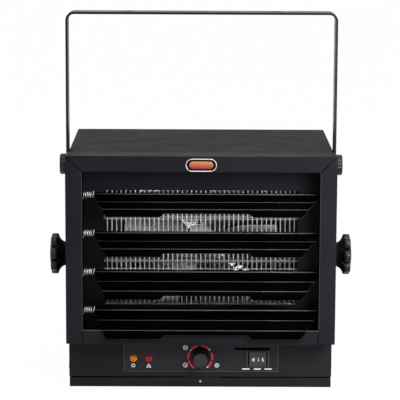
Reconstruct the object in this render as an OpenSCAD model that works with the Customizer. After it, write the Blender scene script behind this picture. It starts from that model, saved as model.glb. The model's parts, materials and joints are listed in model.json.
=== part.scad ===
// Electric garage heater that hangs or stands on a tilting U bracket.
// The front faces -Y and +Z is up. The origin is the centre of the cabinet's underside.

/* [Cabinet] */
// Width over the cabinet sides
cabinet_w = 362; // [356:1:390]
// Depth of the cabinet behind the front frame
cabinet_d = 240; // [232:1:280]
// Height from the base to the top of the front frame
body_h = 328; // [324:1:352]
// Thickness of the folded sheet steel
sheet = 1.2; // [0.9:0.1:1.5]
// Outer radius of the cabinet's long top folds
fold_r = 2; // [1.6:0.1:4]
// Height of the control compartment, up to the underside of the front frame
compartment_h = 70; // [68:1:78]
// Height of the lip round the base plate
base_lip_h = 12.9; // [11:0.1:14]
// Shadow gap between the base lip and the cabinet
base_gap = 1.7; // [1:0.1:2.5]
// Step in from the cabinet side to the base lip
base_inset = 0.5; // [0.4:0.1:1.1]
// Height of the base plate's tabs inside the cabinet
base_tab_h = 30; // [26:1:36]
// Width of the base plate's tongue behind the control panel
base_tongue_w = 50; // [30:1:120]

/* [Front frame] */
// Depth of the front frame in front of the cabinet
frame_depth = 40; // [38:1:48]
// Width of the frame's upright members
frame_side = 22.5; // [18:0.5:26]
// Height of the frame's top member
frame_top = 21.6; // [20.5:0.1:24]
// Height of the frame's bottom member
frame_bottom = 19.6; // [17:0.1:20]
// Slip clearance between the frame and the cabinet inside it
frame_slip = 0.3; // [0.1:0.05:0.5]
// How far the cabinet reaches into the frame
frame_lap = 8; // [6:0.5:12]
// Width of the joint grooves at the frame's corners
mitre_w = 0.6; // [0.4:0.1:1]
// Depth of the joint grooves
mitre_depth = 0.4; // [0.2:0.05:0.6]

/* [Outlet and guard] */
// Half width of the outlet opening
outlet_half_w = 132.5; // [125:0.1:138]
// From the frame opening's top edge down to the outlet
outlet_drop = 31; // [28:1:36]
// From the frame opening's bottom edge up to the outlet
outlet_rise = 25.9; // [22:0.1:30]
// Diameter of the guard wires
guard_wire_d = 1.6; // [1.2:0.1:2.2]
// Spacing of the guard wires
guard_pitch = 6.42; // [6:0.01:9]
// From the outlet panel's face back to the guard
guard_set_back = 15; // [12:0.5:17]

/* [Louvers] */
// From the frame opening's top edge down to the first louver's axis
louver_drop = 33.7; // [30:0.1:38]
// Spacing of the louver axes
louver_pitch = 53.2; // [50:0.1:54]
// From the cabinet's front plane forward to the louver axes
louver_reach = 20; // [19:0.5:22]
// Thickness of the louver sheet
louver_sheet = 0.9; // [0.7:0.1:1.2]
// Depth of a louver's first facet, next to its rod
facet_a = 16; // [13:0.5:17]
// Depth of a louver's second facet
facet_b = 16; // [13:0.5:17]
// Depth of a louver's lip at its two tabs
lip_tab = 12; // [9:0.5:14]
// Depth of a louver's lip between the tabs
lip_mid = 6.4; // [4:0.1:8]
// How far the left end of a louver is cut back at its lip
taper_left = 15; // [10:1:20]
// How far the right end of a louver is cut back at its lip
taper_right = 25; // [18:1:30]
// Width of the left tab at its edge
tab_left_w = 72; // [50:1:80]
// Width of the right tab at its edge
tab_right_w = 65; // [50:1:80]
// Slope beside the notch between the tabs
notch_slope = 5; // [2:0.5:8]
// Diameter of the louver rods
rod_d = 4; // [3:0.1:5]
// Clear end play between a louver and the right rail
louver_play = 0.5; // [0.3:0.1:0.8]
// Radius of the ears at a louver's ends
ear_r = 5.4; // [5:0.1:6]

/* [Louver springs] */
// Length of a spring along its rod
spring_l = 17.2; // [14:0.1:20]
// Mean radius of a spring's coil
spring_r = 4.7; // [4:0.1:5]
// Wire diameter of a spring
spring_wire_d = 1; // [0.8:0.1:1.2]
// Number of coils
spring_turns = 6; // [5:1:6]

/* [Controls] */
// Width of the plate on the control panel
plate_w = 214; // [206:1:230]
// Height of the plate's bottom edge
plate_z = 21.7; // [20.5:0.1:24]
// Thickness of the plate
plate_t = 0.8; // [0.6:0.1:1.2]
// Width of the raised rim round the plate
plate_rim_w = 1.8; // [1:0.1:3]
// Height of the raised rim
plate_rim_h = 0.6; // [0.3:0.1:0.8]
// Height of the lamp centres
lamp_z = 40.3; // [39:0.1:44]
// From the plate's left end to the amber lamp
lamp_inset = 13.8; // [12:0.1:18]
// Distance between the lamps
lamp_spacing = 20.9; // [16:0.1:26]
// Diameter of a lamp's dome
lamp_d = 10.4; // [9:0.1:12]
// Height of a lamp's dome
lamp_rise = 3; // [2:0.1:4.5]
// Height of the thermostat's axis
knob_z = 41.8; // [40:0.1:43]
// Diameter of the thermostat knob at its skirt
knob_d = 29; // [24:0.5:30]
// Diameter of the thermostat knob's front face
knob_face_d = 18.5; // [14:0.5:20]
// Length of the thermostat knob
knob_l = 17; // [14:0.5:20]
// Diameter of the thermostat's spindle
spindle_d = 6; // [5:0.1:6.5]
// From the plate's right end to the switch's middle
switch_inset = 28.8; // [26:0.1:32]
// Height of the switch's centre
switch_z = 40.3; // [39:0.1:43]
// Width of the switch bezel
switch_w = 31.4; // [30:0.1:34]
// Height of the switch bezel
switch_h = 23.8; // [23:0.1:26]
// Length of the rocker, along which it rocks
rocker_l = 24.2; // [20:0.1:25]
// Height of the rocker
rocker_h = 20.4; // [16:0.1:20.8]
// Width of the slot above the switch
slot_w = 50; // [40:1:56]
// Height of the slot above the switch
slot_h = 4; // [3:0.1:5]

/* [Fan and elements] */
// Radius of the fan over its blades
fan_r = 108; // [96:1:110]
// Number of fan blades
fan_blades = 6; // [4:1:7]
// Pitch angle of the blades
fan_pitch = 26; // [18:1:30]
// How far the fan's first blade stands below level at rest
fan_rest_turn = 10; // [0:1:60]
// Running gap between the blades and the shroud
fan_gap = 4; // [3:0.5:6]
// Diameter of the motor shaft
shaft_d = 8; // [6:0.5:10]
// Radius of the motor
motor_r = 42; // [36:1:48]
// Length of the motor
motor_l = 62; // [50:1:66]
// Diameter of the element tubes
tube_d = 8; // [7:0.5:9]
// Diameter of the fins
fin_d = 17; // [14:0.5:20]
// Spacing of the fins
fin_pitch = 6.35; // [5:0.05:9]
// Thickness of the fins
fin_t = 0.6; // [0.5:0.1:0.9]
// Spacing of the element runs
run_pitch = 31; // [26:0.5:31]

/* [Bracket] */
// Width of the bracket's flat bar
bar_w = 30; // [25:1:36]
// Thickness of the bracket's flat bar
bar_t = 3.2; // [2.5:0.1:4]
// Outer radius of the bracket's bends
bar_bend_r = 12; // [9:0.5:20]
// Height of the bracket above the front frame
bracket_rise = 187.5; // [150:0.5:260]
// Height of the pivots
pivot_z = 179.3; // [170:0.1:184]
// From the cabinet's front plane back to the pivots
pivot_back = 41; // [34:0.5:50]
// Clear gap between the bracket's legs and the cabinet
leg_gap = 0.7; // [0.4:0.1:1]
// Angle through which the bracket tilts back
tilt_range = 40; // [20:1:42]
// From the pivot up to the lock knob
lock_reach = 125.8; // [110:0.1:128]
// Distance between the two slots in the bracket's top bar
slot_spacing = 200; // [120:1:260]
// Length of the slots in the top bar, end to end
bar_slot_l = 16; // [12:1:24]
// Width of the slots in the top bar
bar_slot_w = 8; // [6:0.5:9]

/* [Knobs] */
// Radius of a clamp knob over its lobes
clamp_r = 28.5; // [24:0.5:32]
// Length of a clamp knob
clamp_l = 22.9; // [20:0.1:28]
// Thickness of a clamp knob's lobed rim
clamp_rim = 10.5; // [8:0.5:12]
// Number of lobes
clamp_lobes = 7; // [5:1:8]
// Diameter of a clamp knob's stud
clamp_stud_d = 8; // [6:0.5:10]
// Radius of a lock knob
lock_knob_r = 14.2; // [12:0.1:16]
// Length of a lock knob
lock_knob_l = 8.9; // [7:0.1:14]
// Diameter of a lock knob's stud
lock_stud_d = 6; // [5:0.5:7]

/* [Badge and inlet] */
// Width of the badge
badge_w = 42; // [36:1:60]
// Height of the badge
badge_h = 17.6; // [14:0.1:18.4]
// Thickness of the badge
badge_t = 1.5; // [1:0.1:2.5]
// Bore of the cable gland
gland_bore_d = 16; // [12:0.5:17]
// Thread diameter of the cable gland
gland_thread_d = 22; // [20:0.1:24]
// Distance of the gland right of the middle
gland_x = 120; // [100:1:130]
// Height of the gland
gland_z = 42; // [36:1:44]

/* [Hidden] */
$fn = 48;

// Overrun of every cut past the face it cuts
over = 1;
// Radial clearance of a turning or seated round fit
run_fit = 0.05;
// Clearance between pieces that move past each other
free_gap = 0.4;

// Cabinet planes
side_x = cabinet_w / 2;
inner_x = side_x - sheet;
front_y = -cabinet_d / 2;
rear_y = cabinet_d / 2;
panel_back_y = front_y + sheet;
rear_inner_y = rear_y - sheet;
shell_top = body_h - sheet - frame_slip;
shell_ceiling = shell_top - sheet;
shell_bottom = base_lip_h + base_gap;
divider_top = compartment_h + sheet;

// Front frame planes
frame_x = side_x + frame_slip + sheet;
face_y = front_y - frame_depth;
face_back_y = face_y + sheet;
open_x = frame_x - frame_side;
open_top = body_h - frame_top;
open_bottom = compartment_h + frame_bottom;
rail_gap = 0.5;
rail_x = open_x + rail_gap;
rail_flange = 14;

// Outlet, guard and duct
outlet_top = open_top - outlet_drop;
outlet_bottom = open_bottom + outlet_rise;
outlet_mid = (outlet_top + outlet_bottom) / 2;
guard_y = front_y + guard_set_back;
guard_margin = 4;
duct_gap = 2.3;
duct_x = outlet_half_w + duct_gap;
duct_flange = 12;
shroud_set_back = 76;
shroud_y = front_y + shroud_set_back;
shroud_side_room = 14;
shroud_x = inner_x - shroud_side_room;
guard_cross_shares = [-0.01, 0.3, 0.735, 1.01];
guard_weld_share = 0.8;

// Louver places: rest tilt of each blade from upright, and the bends of its facets
louver_tilts = [62, 60, 48, 44];
bend_b = 4;
bend_c = -16;
louver_y = front_y - louver_reach;
rod_r = rod_d / 2;
hem_r = rod_r + run_fit + louver_sheet;
rod_end = 2.5;
left_inset_shares = [0, 0.1, 0.6, 1];
right_inset_shares = [0, 0.25, 0.65, 1];
function louver_z(k) = open_top - louver_drop - k * louver_pitch;

// Springs
spring_rings = 8;
spring_sides = 6;
spring_x0 = -rail_x;
louver_left = -rail_x + spring_l + free_gap + louver_sheet;
louver_right = rail_x - louver_play;

// Elements
tube_r = tube_d / 2;
fin_r = fin_d / 2;
tube_fit = 0.2;
element_set_back = 38;
element_y = front_y + element_set_back;
element_drop = 11.4;
element_top = outlet_top - element_drop;
fin_margin = 5;
cold_end_l = 12;
pin_r = 1.6;
pin_l = 8;
bend_lead = 1.5;

// Fan and motor
shaft_r = shaft_d / 2;
fan_set_back = 14;
fan_y = shroud_y + fan_set_back;
hub_r = 18;
hub_l = 18;
blade_t = 1.2;
camber_r = 170;
blade_room = 30;
blade_shares = [
    [0.1, -0.07], [0.45, -0.3], [1.05, -0.47], [1.05, 0.36], [0.5, 0.25], [0.1, 0.09]
];
shroud_collar = 34;
motor_set_back = 32;
motor_y = fan_y + motor_set_back;
motor_end_y = motor_y + motor_l;
motor_step = 4;
motor_step_share = 0.86;
bearing_wall = 3;
bearing_r = shaft_r + bearing_wall;
bearing_l = 10;
strap_t = 2;
strap_h = 40;
strap_flange = 16;
motor_screw_x = 26;

// Bracket and pivots
pivot_y = front_y + pivot_back;
leg_in = side_x + leg_gap;
leg_out = leg_in + bar_t;
bracket_top = body_h + bracket_rise;
boss_r = 8;
boss_proud = 0.1;
bush_nut_r = 12;
bush_nut_l = 8;
clamp_stud_r = clamp_stud_d / 2;
lock_stud_r = lock_stud_d / 2;
lock_slot_play = 0.7;
lock_slot_w = lock_stud_d + 2 * lock_slot_play;
slot_steps = 24;
slot_end_steps = 8;
lock_nut_r = 7.5;
lock_nut_t = 6;

// Knobs
knob_in = leg_out + free_gap;
clamp_boss_r = 14.6;
clamp_boss_l = 1.1;
clamp_hub_r = 15.8;
clamp_neck_r = 20.5;
lobe_r = 8.5;
clamp_core_step = 1;
clamp_core_r = clamp_r - lobe_r + clamp_core_step;
knob_edge = 1.5;
lock_flutes = 12;
flute_r = 1.5;

// Controls
plate_shift = 1;
plate_left = plate_shift - plate_w / 2;
plate_right = plate_shift + plate_w / 2;
amber_x = plate_left + lamp_inset;
red_x = amber_x + lamp_spacing;
switch_x = plate_right - switch_inset;
plate_top_gap = 4;
plate_top = compartment_h - plate_top_gap;
plate_y = front_y - plate_t;
lamp_stem_r = 4;
lamp_stem_l = 8;
lamp_body_r = 6.5;
lamp_body_l = 19;
bush_r = 5;
bush_proud = 3;
thermostat_w = 34;
thermostat_h = 30;
thermostat_l = 24;
spindle_in = 10;
knob_gap = 0.5;
knob_skirt = 3;
knob_recess_r = 7;
knob_recess_l = 4;
spindle_out_share = 0.8;
bezel_t = 2;
bezel_y = plate_y - bezel_t;
switch_lip_w = 2;
switch_body_w = switch_w - 2 * switch_lip_w;
switch_lip_h = 0.6;
switch_body_h = switch_h - 2 * switch_lip_h;
switch_depth = 25;
rocker_proud = 1.5;
rocker_valley = 0.9;
rocker_pivot_in = 2.2;
rocker_r = rocker_l / 2;
rocker_back = 5;
trunnion_r = 1.2;
trunnion_l = 0.8;
rocker_y = bezel_y + rocker_pivot_in;
slot_shift = 7.6;
slot_rise = 0.6;
slot_z = switch_z + switch_body_h / 2 + slot_rise + slot_h / 2;

// Badge, gland and parts in the control compartment
badge_drop = 11.6;
badge_rim = 1.3;
badge_sink = 0.5;
gland_r = gland_thread_d / 2;
gland_hex_r = 15;
gland_hex_l = 5;
gland_clamp_r = 12.5;
gland_clamp_l = 8;
gland_inside = 12;
locknut_r = 14.5;
locknut_t = 4.5;
terminal_l = 60;
terminal_w = 26;
terminal_h = 22;
terminal_poles = 4;
terminal_inset = 60;
terminal_y = rear_y - terminal_inset;
contactor_x = -70;
contactor_inset = 100;
contactor_y = rear_y - contactor_inset;
contactor_w = 46;
contactor_d = 60;
contactor_h = 50;
contactor_foot = 8;
contactor_foot_h = 6;
pole_r = 3;
pole_h = 2;
cutout_x = 112;
cutout_set_back = 58;
cutout_y = front_y + cutout_set_back;
cutout_r = 9;
cutout_h = 7;
cutout_foot_w = 28;
cutout_foot_t = 1.6;

// Rear
intake_r = 108;
intake_rings = 9;
intake_pitch = 10;
intake_slot_w = 5.5;
intake_spokes = 8;
intake_spoke_w = 7;
rear_flange = 14;

// Screws
screw_r = 1.9;
screw_head_r = 3.6;
screw_head_h = 2;
screw_l = 7;
screw_slot_w = 0.9;
screw_slot_depth = 0.8;
base_screw_z = 8.2;
side_screw_inset = 30;
side_screw_y = rear_y - side_screw_inset;
side_screw_rise = 7.5;
frame_screw_inset = 26;
rear_screw_inset = 7;
rear_screw_rise = 14;

// A box between two corners
module slab(x0, x1, y0, y1, z0, z1) {
    translate([x0, y0, z0]) cube([x1 - x0, y1 - y0, z1 - z0]);
}

// A cylinder along X
module xcyl(r, x0, x1) {
    translate([x0, 0, 0]) rotate([0, 90, 0]) cylinder(r = r, h = x1 - x0);
}

// A cylinder along Y
module ycyl(r, y0, y1) {
    translate([0, y0, 0]) rotate([-90, 0, 0]) cylinder(r = r, h = y1 - y0);
}

// A cone along X
module xcone(r0, r1, x0, x1) {
    translate([x0, 0, 0]) rotate([0, 90, 0]) cylinder(r1 = r0, r2 = r1, h = x1 - x0);
}

// A flat shape in X and Z, made solid from y0 to y1
module along_y(y0, y1) {
    translate([0, y1, 0]) rotate([90, 0, 0]) linear_extrude(y1 - y0) children();
}

// A flat shape in Y and Z, made solid from x0 to x1
module along_x(x0, x1) {
    translate([x0, 0, 0]) rotate([90, 0, 90]) linear_extrude(x1 - x0) children();
}

// The children and their mirror image across the middle
module both_sides() {
    children();
    mirror([1, 0, 0]) children();
}

// A slotted pan head screw along Z, with its head's underside at 0
module screw() {
    difference() {
        union() {
            cylinder(r = screw_head_r, h = screw_head_h);
            translate([0, 0, -screw_l]) cylinder(r = screw_r, h = screw_l);
        }
        translate([-screw_head_r, -screw_slot_w / 2, screw_head_h - screw_slot_depth])
            cube([2 * screw_head_r, screw_slot_w, screw_slot_depth + over]);
    }
}

// Places of the screws in the cabinet's sides: Y, Z and how far out their heads sit
cabinet_screw_places = [
    [-side_screw_y, shell_bottom + side_screw_rise, side_x],
    [side_screw_y, shell_bottom + side_screw_rise, side_x],
    [front_y - frame_lap / 2, open_bottom + frame_screw_inset, frame_x],
    [front_y - frame_lap / 2, open_top - frame_screw_inset, frame_x]
];

// Clearance holes for the screws in the cabinet's sides
module side_screw_holes() {
    both_sides() for (p = cabinet_screw_places)
        translate([0, p[0], p[1]]) xcyl(screw_r + run_fit, inner_x - 2 * sheet, frame_x + over);
}

// Places of the screws in the rear panel
rear_screw_x = inner_x - rear_screw_inset;
rear_screw_heights = [
    shell_bottom + rear_screw_rise,
    (shell_bottom + shell_ceiling) / 2,
    shell_ceiling - rear_screw_rise
];

module rear_screw_holes() {
    both_sides() for (z = rear_screw_heights)
        translate([rear_screw_x, 0, z]) ycyl(screw_r + run_fit, rear_inner_y - sheet - over, rear_y + over);
}

// Outline of the cabinet across its top folds
module shell_outline(x, top, r) {
    translate([-x, 0]) square([2 * x, top - r]);
    translate([r - x, 0]) square([2 * (x - r), top]);
    translate([r - x, top - r]) circle(r = r);
    translate([x - r, top - r]) circle(r = r);
}

// Corners of an arc slot about the origin: its middle radius, half its width and its angle
function arc_slot(r, half, angle) = concat(
    [for (i = [0 : slot_steps]) let (a = angle * i / slot_steps) (r + half) * [cos(a), sin(a)]],
    [for (i = [1 : slot_end_steps - 1]) let (a = angle + 180 * i / slot_end_steps)
        r * [cos(angle), sin(angle)] + half * [cos(a), sin(a)]],
    [for (i = [slot_steps : -1 : 0]) let (a = angle * i / slot_steps) (r - half) * [cos(a), sin(a)]],
    [for (i = [1 : slot_end_steps - 1]) let (a = 180 + 180 * i / slot_end_steps)
        [r, 0] + half * [cos(a), sin(a)]]
);

// Slot in the cabinet's side along which a lock stud travels as the bracket tilts
module lock_arc() {
    translate([0, pivot_y, pivot_z]) rotate([0, -90, 0]) translate([0, 0, -side_x - over])
        linear_extrude(sheet + 2 * over) polygon(arc_slot(lock_reach, lock_slot_w / 2, tilt_range));
}

module cabinet_shell() {
    color("#1d1e21") difference() {
        union() {
            along_y(front_y - frame_lap, rear_y) difference() {
                shell_outline(side_x, shell_top, fold_r);
                shell_outline(inner_x, shell_ceiling, fold_r - sheet);
            }
            both_sides() slab(inner_x - rear_flange, inner_x, rear_inner_y - sheet, rear_inner_y,
                shell_bottom, shell_ceiling);
        }
        slab(-side_x - over, side_x + over, front_y - frame_lap - over, rear_y + over,
            -over, shell_bottom);
        slab(-side_x - over, side_x + over, front_y - frame_lap - over, front_y,
            0, divider_top + frame_slip);
        slab(-side_x - over, side_x + over, front_y - over, panel_back_y, 0, compartment_h);
        both_sides() {
            translate([0, pivot_y, pivot_z]) xcyl(boss_r + run_fit, inner_x - over, side_x + over);
            lock_arc();
        }
        side_screw_holes();
        rear_screw_holes();
    }
}

module base_plate() {
    base_x = side_x - base_inset;
    color("#1a1b1d") difference() {
        union() {
            difference() {
                slab(-base_x, base_x, front_y, rear_y, 0, base_lip_h);
                slab(sheet - base_x, base_x - sheet, panel_back_y, rear_inner_y,
                    sheet, base_lip_h + over);
            }
            both_sides() slab(inner_x - sheet, inner_x, panel_back_y + sheet, rear_inner_y - 2 * sheet,
                sheet, base_tab_h);
            slab(-base_tongue_w / 2, base_tongue_w / 2, panel_back_y, panel_back_y + sheet, sheet, plate_z);
        }
        side_screw_holes();
        translate([0, 0, base_screw_z]) ycyl(screw_r + run_fit, front_y - over, panel_back_y + 2 * sheet);
    }
}

// Outline of a panel that closes the cabinet, with corners cut to clear its folds
module closing_outline(bottom) {
    corner = fold_r - sheet;
    polygon([
        [-inner_x, bottom], [inner_x, bottom],
        [inner_x, shell_ceiling - corner], [inner_x - corner, shell_ceiling],
        [corner - inner_x, shell_ceiling], [-inner_x, shell_ceiling - corner]
    ]);
}

// Rings of slots stamped through the rear panel, with spokes left between them
module intake_slots() {
    difference() {
        for (i = [0 : intake_rings - 1])
            difference() {
                circle(r = intake_r - i * intake_pitch);
                circle(r = intake_r - i * intake_pitch - intake_slot_w);
            }
        for (i = [0 : intake_spokes - 1])
            rotate(i * 360 / intake_spokes)
                translate([0, -intake_spoke_w / 2]) square([intake_r + over, intake_spoke_w]);
    }
}

module rear_panel() {
    color("#1d1e21") difference() {
        along_y(rear_inner_y, rear_y) difference() {
            closing_outline(shell_bottom);
            translate([0, outlet_mid]) intake_slots();
        }
        translate([gland_x, 0, gland_z]) ycyl(gland_r + run_fit, rear_inner_y - over, rear_y + over);
        rear_screw_holes();
    }
}

// A groove cut into the frame's face from its upper corner to its opening's corner
module mitre() {
    run = [open_x - frame_x, open_top - body_h];
    translate([frame_x, face_y, body_h]) rotate([0, -atan2(run[1], run[0]), 0])
        slab(0, norm(run) + over, -over, mitre_depth, -mitre_w / 2, mitre_w / 2);
}

// A groove straight down from the opening, where the bottom bar butts against the side
module butt_joint() {
    slab(open_x - mitre_w, open_x, face_y - over, face_y + mitre_depth,
        compartment_h - over, open_bottom + over);
}

module front_frame() {
    color("#232428") difference() {
        slab(-frame_x, frame_x, face_y, front_y, compartment_h, body_h);
        slab(sheet - frame_x, frame_x - sheet, face_back_y, front_y + over,
            compartment_h + sheet, body_h - sheet);
        slab(-open_x, open_x, face_y - over, face_back_y + over, open_bottom, open_top);
        both_sides() {
            mitre();
            butt_joint();
        }
        side_screw_holes();
    }
}

module louver_rail() {
    color("#141416") difference() {
        union() {
            slab(rail_x, rail_x + sheet, face_back_y, front_y, divider_top, shell_ceiling);
            slab(rail_x + sheet, rail_x + rail_flange, face_back_y, face_back_y + sheet,
                divider_top, shell_ceiling);
        }
        for (k = [0 : len(louver_tilts) - 1])
            translate([0, louver_y, louver_z(k)])
                xcyl(rod_r + run_fit, rail_x - over, rail_x + sheet + over);
    }
}

module outlet_panel() {
    color("#26272b") difference() {
        along_y(front_y, panel_back_y) closing_outline(compartment_h);
        slab(-outlet_half_w, outlet_half_w, front_y - over, panel_back_y + over,
            outlet_bottom, outlet_top);
    }
}

module front_guard() {
    wire_r = guard_wire_d / 2;
    wires = floor(2 * (outlet_half_w - guard_margin) / guard_pitch) + 1;
    color("#c9cdd2") {
        for (i = [0 : wires - 1])
            translate([(i - (wires - 1) / 2) * guard_pitch, guard_y, outlet_bottom - guard_margin])
                cylinder(r = wire_r, h = outlet_top - outlet_bottom + 2 * guard_margin, $fn = 8);
        for (s = guard_cross_shares)
            translate([0, guard_y + guard_wire_d * guard_weld_share,
                outlet_bottom + s * (outlet_top - outlet_bottom)])
                rotate([0, 90, 0]) cylinder(r = wire_r, h = 2 * duct_x, center = true, $fn = 8);
    }
}

module duct_side() {
    color("#8d9196") difference() {
        union() {
            slab(duct_x, duct_x + sheet, panel_back_y, shroud_y, divider_top, shell_ceiling);
            slab(duct_x + sheet, duct_x + duct_flange, panel_back_y, panel_back_y + sheet,
                divider_top, shell_ceiling);
        }
        for (i = [0 : 5])
            translate([0, element_y, element_top - i * run_pitch])
                xcyl(tube_r + tube_fit, duct_x - over, duct_x + sheet + over);
    }
}

// One straight run of finned tube along X
module finned_run(x0, x1) {
    fins = floor(2 * (duct_x - fin_margin) / fin_pitch);
    first = -(fins - 1) * fin_pitch / 2 - fin_t / 2;
    outline = concat(
        [[0, x0], [tube_r, x0]],
        [for (i = [0 : fins - 1]) each [
            [tube_r, first + i * fin_pitch],
            [fin_r, first + i * fin_pitch],
            [fin_r, first + i * fin_pitch + fin_t],
            [tube_r, first + i * fin_pitch + fin_t]
        ]],
        [[tube_r, x1], [0, x1]]
    );
    rotate([0, 90, 0]) rotate_extrude() polygon(outline);
}

// A hairpin of two finned runs, joined by a bend at the right, with its pins at the left
module heating_element(i) {
    x0 = -duct_x - sheet - cold_end_l;
    x1 = duct_x + sheet + bend_lead;
    color("#b9bdc2") translate([0, element_y, element_top - 2 * i * run_pitch]) {
        for (z = [0, -run_pitch])
            translate([0, 0, z]) {
                finned_run(x0, x1);
                xcyl(pin_r, x0 - pin_l, x0);
            }
        translate([x1, 0, -run_pitch / 2]) rotate([90, 0, 0]) rotate([0, 0, -90])
            rotate_extrude(angle = 180) translate([run_pitch / 2, 0]) circle(r = tube_r);
    }
}

module fan_shroud() {
    hole_r = fan_r + fan_gap;
    color("#55585c") difference() {
        union() {
            slab(-shroud_x, shroud_x, shroud_y, shroud_y + sheet, divider_top, shell_ceiling);
            translate([0, 0, outlet_mid]) ycyl(hole_r + sheet, shroud_y, shroud_y + shroud_collar);
        }
        translate([0, 0, outlet_mid]) ycyl(hole_r, shroud_y - over, shroud_y + shroud_collar + over);
    }
}

// One cambered blade, pitched about its own radius
module fan_blade() {
    intersection() {
        rotate([90, 0, 0]) linear_extrude(2 * blade_room, center = true) intersection() {
            circle(r = fan_r);
            polygon([for (p = blade_shares) p * fan_r]);
        }
        rotate([fan_pitch, 0, 0]) translate([0, camber_r, 0]) difference() {
            xcyl(camber_r, 0, fan_r + over);
            xcyl(camber_r - blade_t, -over, fan_r + 2 * over);
        }
    }
}

module fan_rotor() {
    color("#d5d8dc") translate([0, fan_y, outlet_mid]) difference() {
        union() {
            ycyl(hub_r, -hub_l / 2, hub_l / 2);
            for (i = [0 : fan_blades - 1])
                rotate([0, fan_rest_turn + i * 360 / fan_blades, 0]) fan_blade();
        }
        ycyl(shaft_r + run_fit, -hub_l, hub_l);
    }
}

module motor_shaft() {
    color("#9a9ea3") translate([0, 0, outlet_mid])
        ycyl(shaft_r, fan_y - hub_l / 2 - 2 * strap_t, motor_end_y + 2 * strap_t);
}

module fan_motor() {
    color("#3c3f43") translate([0, 0, outlet_mid]) difference() {
        union() {
            ycyl(motor_r, motor_y + motor_step, motor_end_y - motor_step);
            ycyl(motor_r * motor_step_share, motor_y, motor_end_y);
        }
        ycyl(shaft_r + over, motor_y - over, motor_end_y + over);
        ycyl(bearing_r, motor_y - over, motor_y + bearing_l);
        ycyl(bearing_r, motor_end_y - bearing_l, motor_end_y + over);
        both_sides() translate([motor_screw_x, 0, 0])
            ycyl(screw_r + run_fit, motor_end_y - 2 * screw_l, motor_end_y + over);
    }
}

module motor_bearings() {
    color("#a8824a") translate([0, 0, outlet_mid]) for (y = [motor_y, motor_end_y - bearing_l])
        difference() {
            ycyl(bearing_r, y, y + bearing_l);
            ycyl(shaft_r + run_fit, y - over, y + bearing_l + over);
        }
}

module motor_mount() {
    y0 = motor_end_y;
    color("#6d7074") difference() {
        union() {
            slab(-inner_x, inner_x, y0, y0 + strap_t, outlet_mid - strap_h / 2, outlet_mid + strap_h / 2);
            both_sides() slab(inner_x - strap_t, inner_x, y0, y0 + strap_flange,
                outlet_mid - strap_h / 2, outlet_mid + strap_h / 2);
        }
        translate([0, 0, outlet_mid]) {
            ycyl(bearing_r, y0 - over, y0 + strap_t + over);
            both_sides() translate([motor_screw_x, 0, 0])
                ycyl(screw_r + run_fit, y0 - over, y0 + strap_t + over);
        }
    }
}

module motor_screws() {
    color("#b0b3b7") both_sides() translate([motor_screw_x, motor_end_y + strap_t, outlet_mid])
        rotate([-90, 0, 0]) screw();
}

module compartment_divider() {
    color("#6d7074") slab(-inner_x, inner_x, panel_back_y, rear_inner_y - sheet,
        compartment_h, divider_top);
}

// Cuts through the control panel and its plate for the lamps, thermostat and switch
module control_cuts() {
    y0 = plate_y - plate_rim_h - over;
    y1 = panel_back_y + over;
    for (x = [amber_x, red_x])
        translate([x, 0, lamp_z]) ycyl(lamp_stem_r + run_fit, y0, y1);
    translate([0, 0, knob_z]) ycyl(bush_r + run_fit, y0, y1);
    translate([switch_x, 0, switch_z])
        slab(-switch_body_w / 2 - run_fit, switch_body_w / 2 + run_fit, y0, y1,
            -switch_body_h / 2 - run_fit, switch_body_h / 2 + run_fit);
    translate([switch_x - slot_shift, 0, slot_z]) along_y(y0, y1) {
        square([slot_w - slot_h, slot_h], center = true);
        for (s = [-1, 1])
            translate([s * (slot_w - slot_h) / 2, 0]) circle(r = slot_h / 2);
    }
}

module control_panel() {
    color("#1f2023") difference() {
        slab(-side_x, side_x, front_y, panel_back_y, shell_bottom, compartment_h);
        control_cuts();
    }
}

module panel_plate() {
    color("#2b2c30") difference() {
        slab(plate_left, plate_right, plate_y - plate_rim_h, front_y, plate_z, plate_top);
        slab(plate_left + plate_rim_w, plate_right - plate_rim_w, plate_y - plate_rim_h - over, plate_y,
            plate_z + plate_rim_w, plate_top - plate_rim_w);
        control_cuts();
    }
}

module thermostat_body() {
    color("#2e3033") translate([0, 0, knob_z]) difference() {
        union() {
            slab(-thermostat_w / 2, thermostat_w / 2, panel_back_y, panel_back_y + thermostat_l,
                -thermostat_h / 2, thermostat_h / 2);
            ycyl(bush_r, plate_y - bush_proud, panel_back_y);
        }
        ycyl(spindle_d / 2 + run_fit, plate_y - bush_proud - over, panel_back_y + spindle_in + over);
    }
}

module thermostat_spindle() {
    color("#a9adb2") translate([0, 0, knob_z])
        ycyl(spindle_d / 2, plate_y - knob_gap - knob_l * spindle_out_share, panel_back_y + spindle_in);
}

module thermostat_knob() {
    y0 = plate_y - knob_gap;
    color("#131315") translate([0, y0, knob_z]) rotate([90, 0, 0]) difference() {
        union() {
            cylinder(r = knob_d / 2, h = knob_skirt);
            translate([0, 0, knob_skirt])
                cylinder(r1 = knob_d / 2, r2 = knob_face_d / 2, h = knob_l - knob_skirt);
        }
        translate([0, 0, -over]) cylinder(r = knob_recess_r, h = knob_recess_l + over);
        cylinder(r = spindle_d / 2 + run_fit, h = knob_l * spindle_out_share + run_fit);
    }
}

module switch_body() {
    cavity_r = rocker_r + free_gap;
    color("#17181a") translate([switch_x, 0, switch_z]) difference() {
        union() {
            slab(-switch_w / 2, switch_w / 2, bezel_y, plate_y, -switch_h / 2, switch_h / 2);
            slab(-switch_body_w / 2, switch_body_w / 2, plate_y, plate_y + switch_depth,
                -switch_body_h / 2, switch_body_h / 2);
        }
        translate([0, rocker_y, 0]) {
            cylinder(r = cavity_r, h = rocker_h + 2 * free_gap, center = true);
            cylinder(r = trunnion_r + run_fit, h = rocker_h + 2 * (trunnion_l + run_fit), center = true);
        }
    }
}

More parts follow.
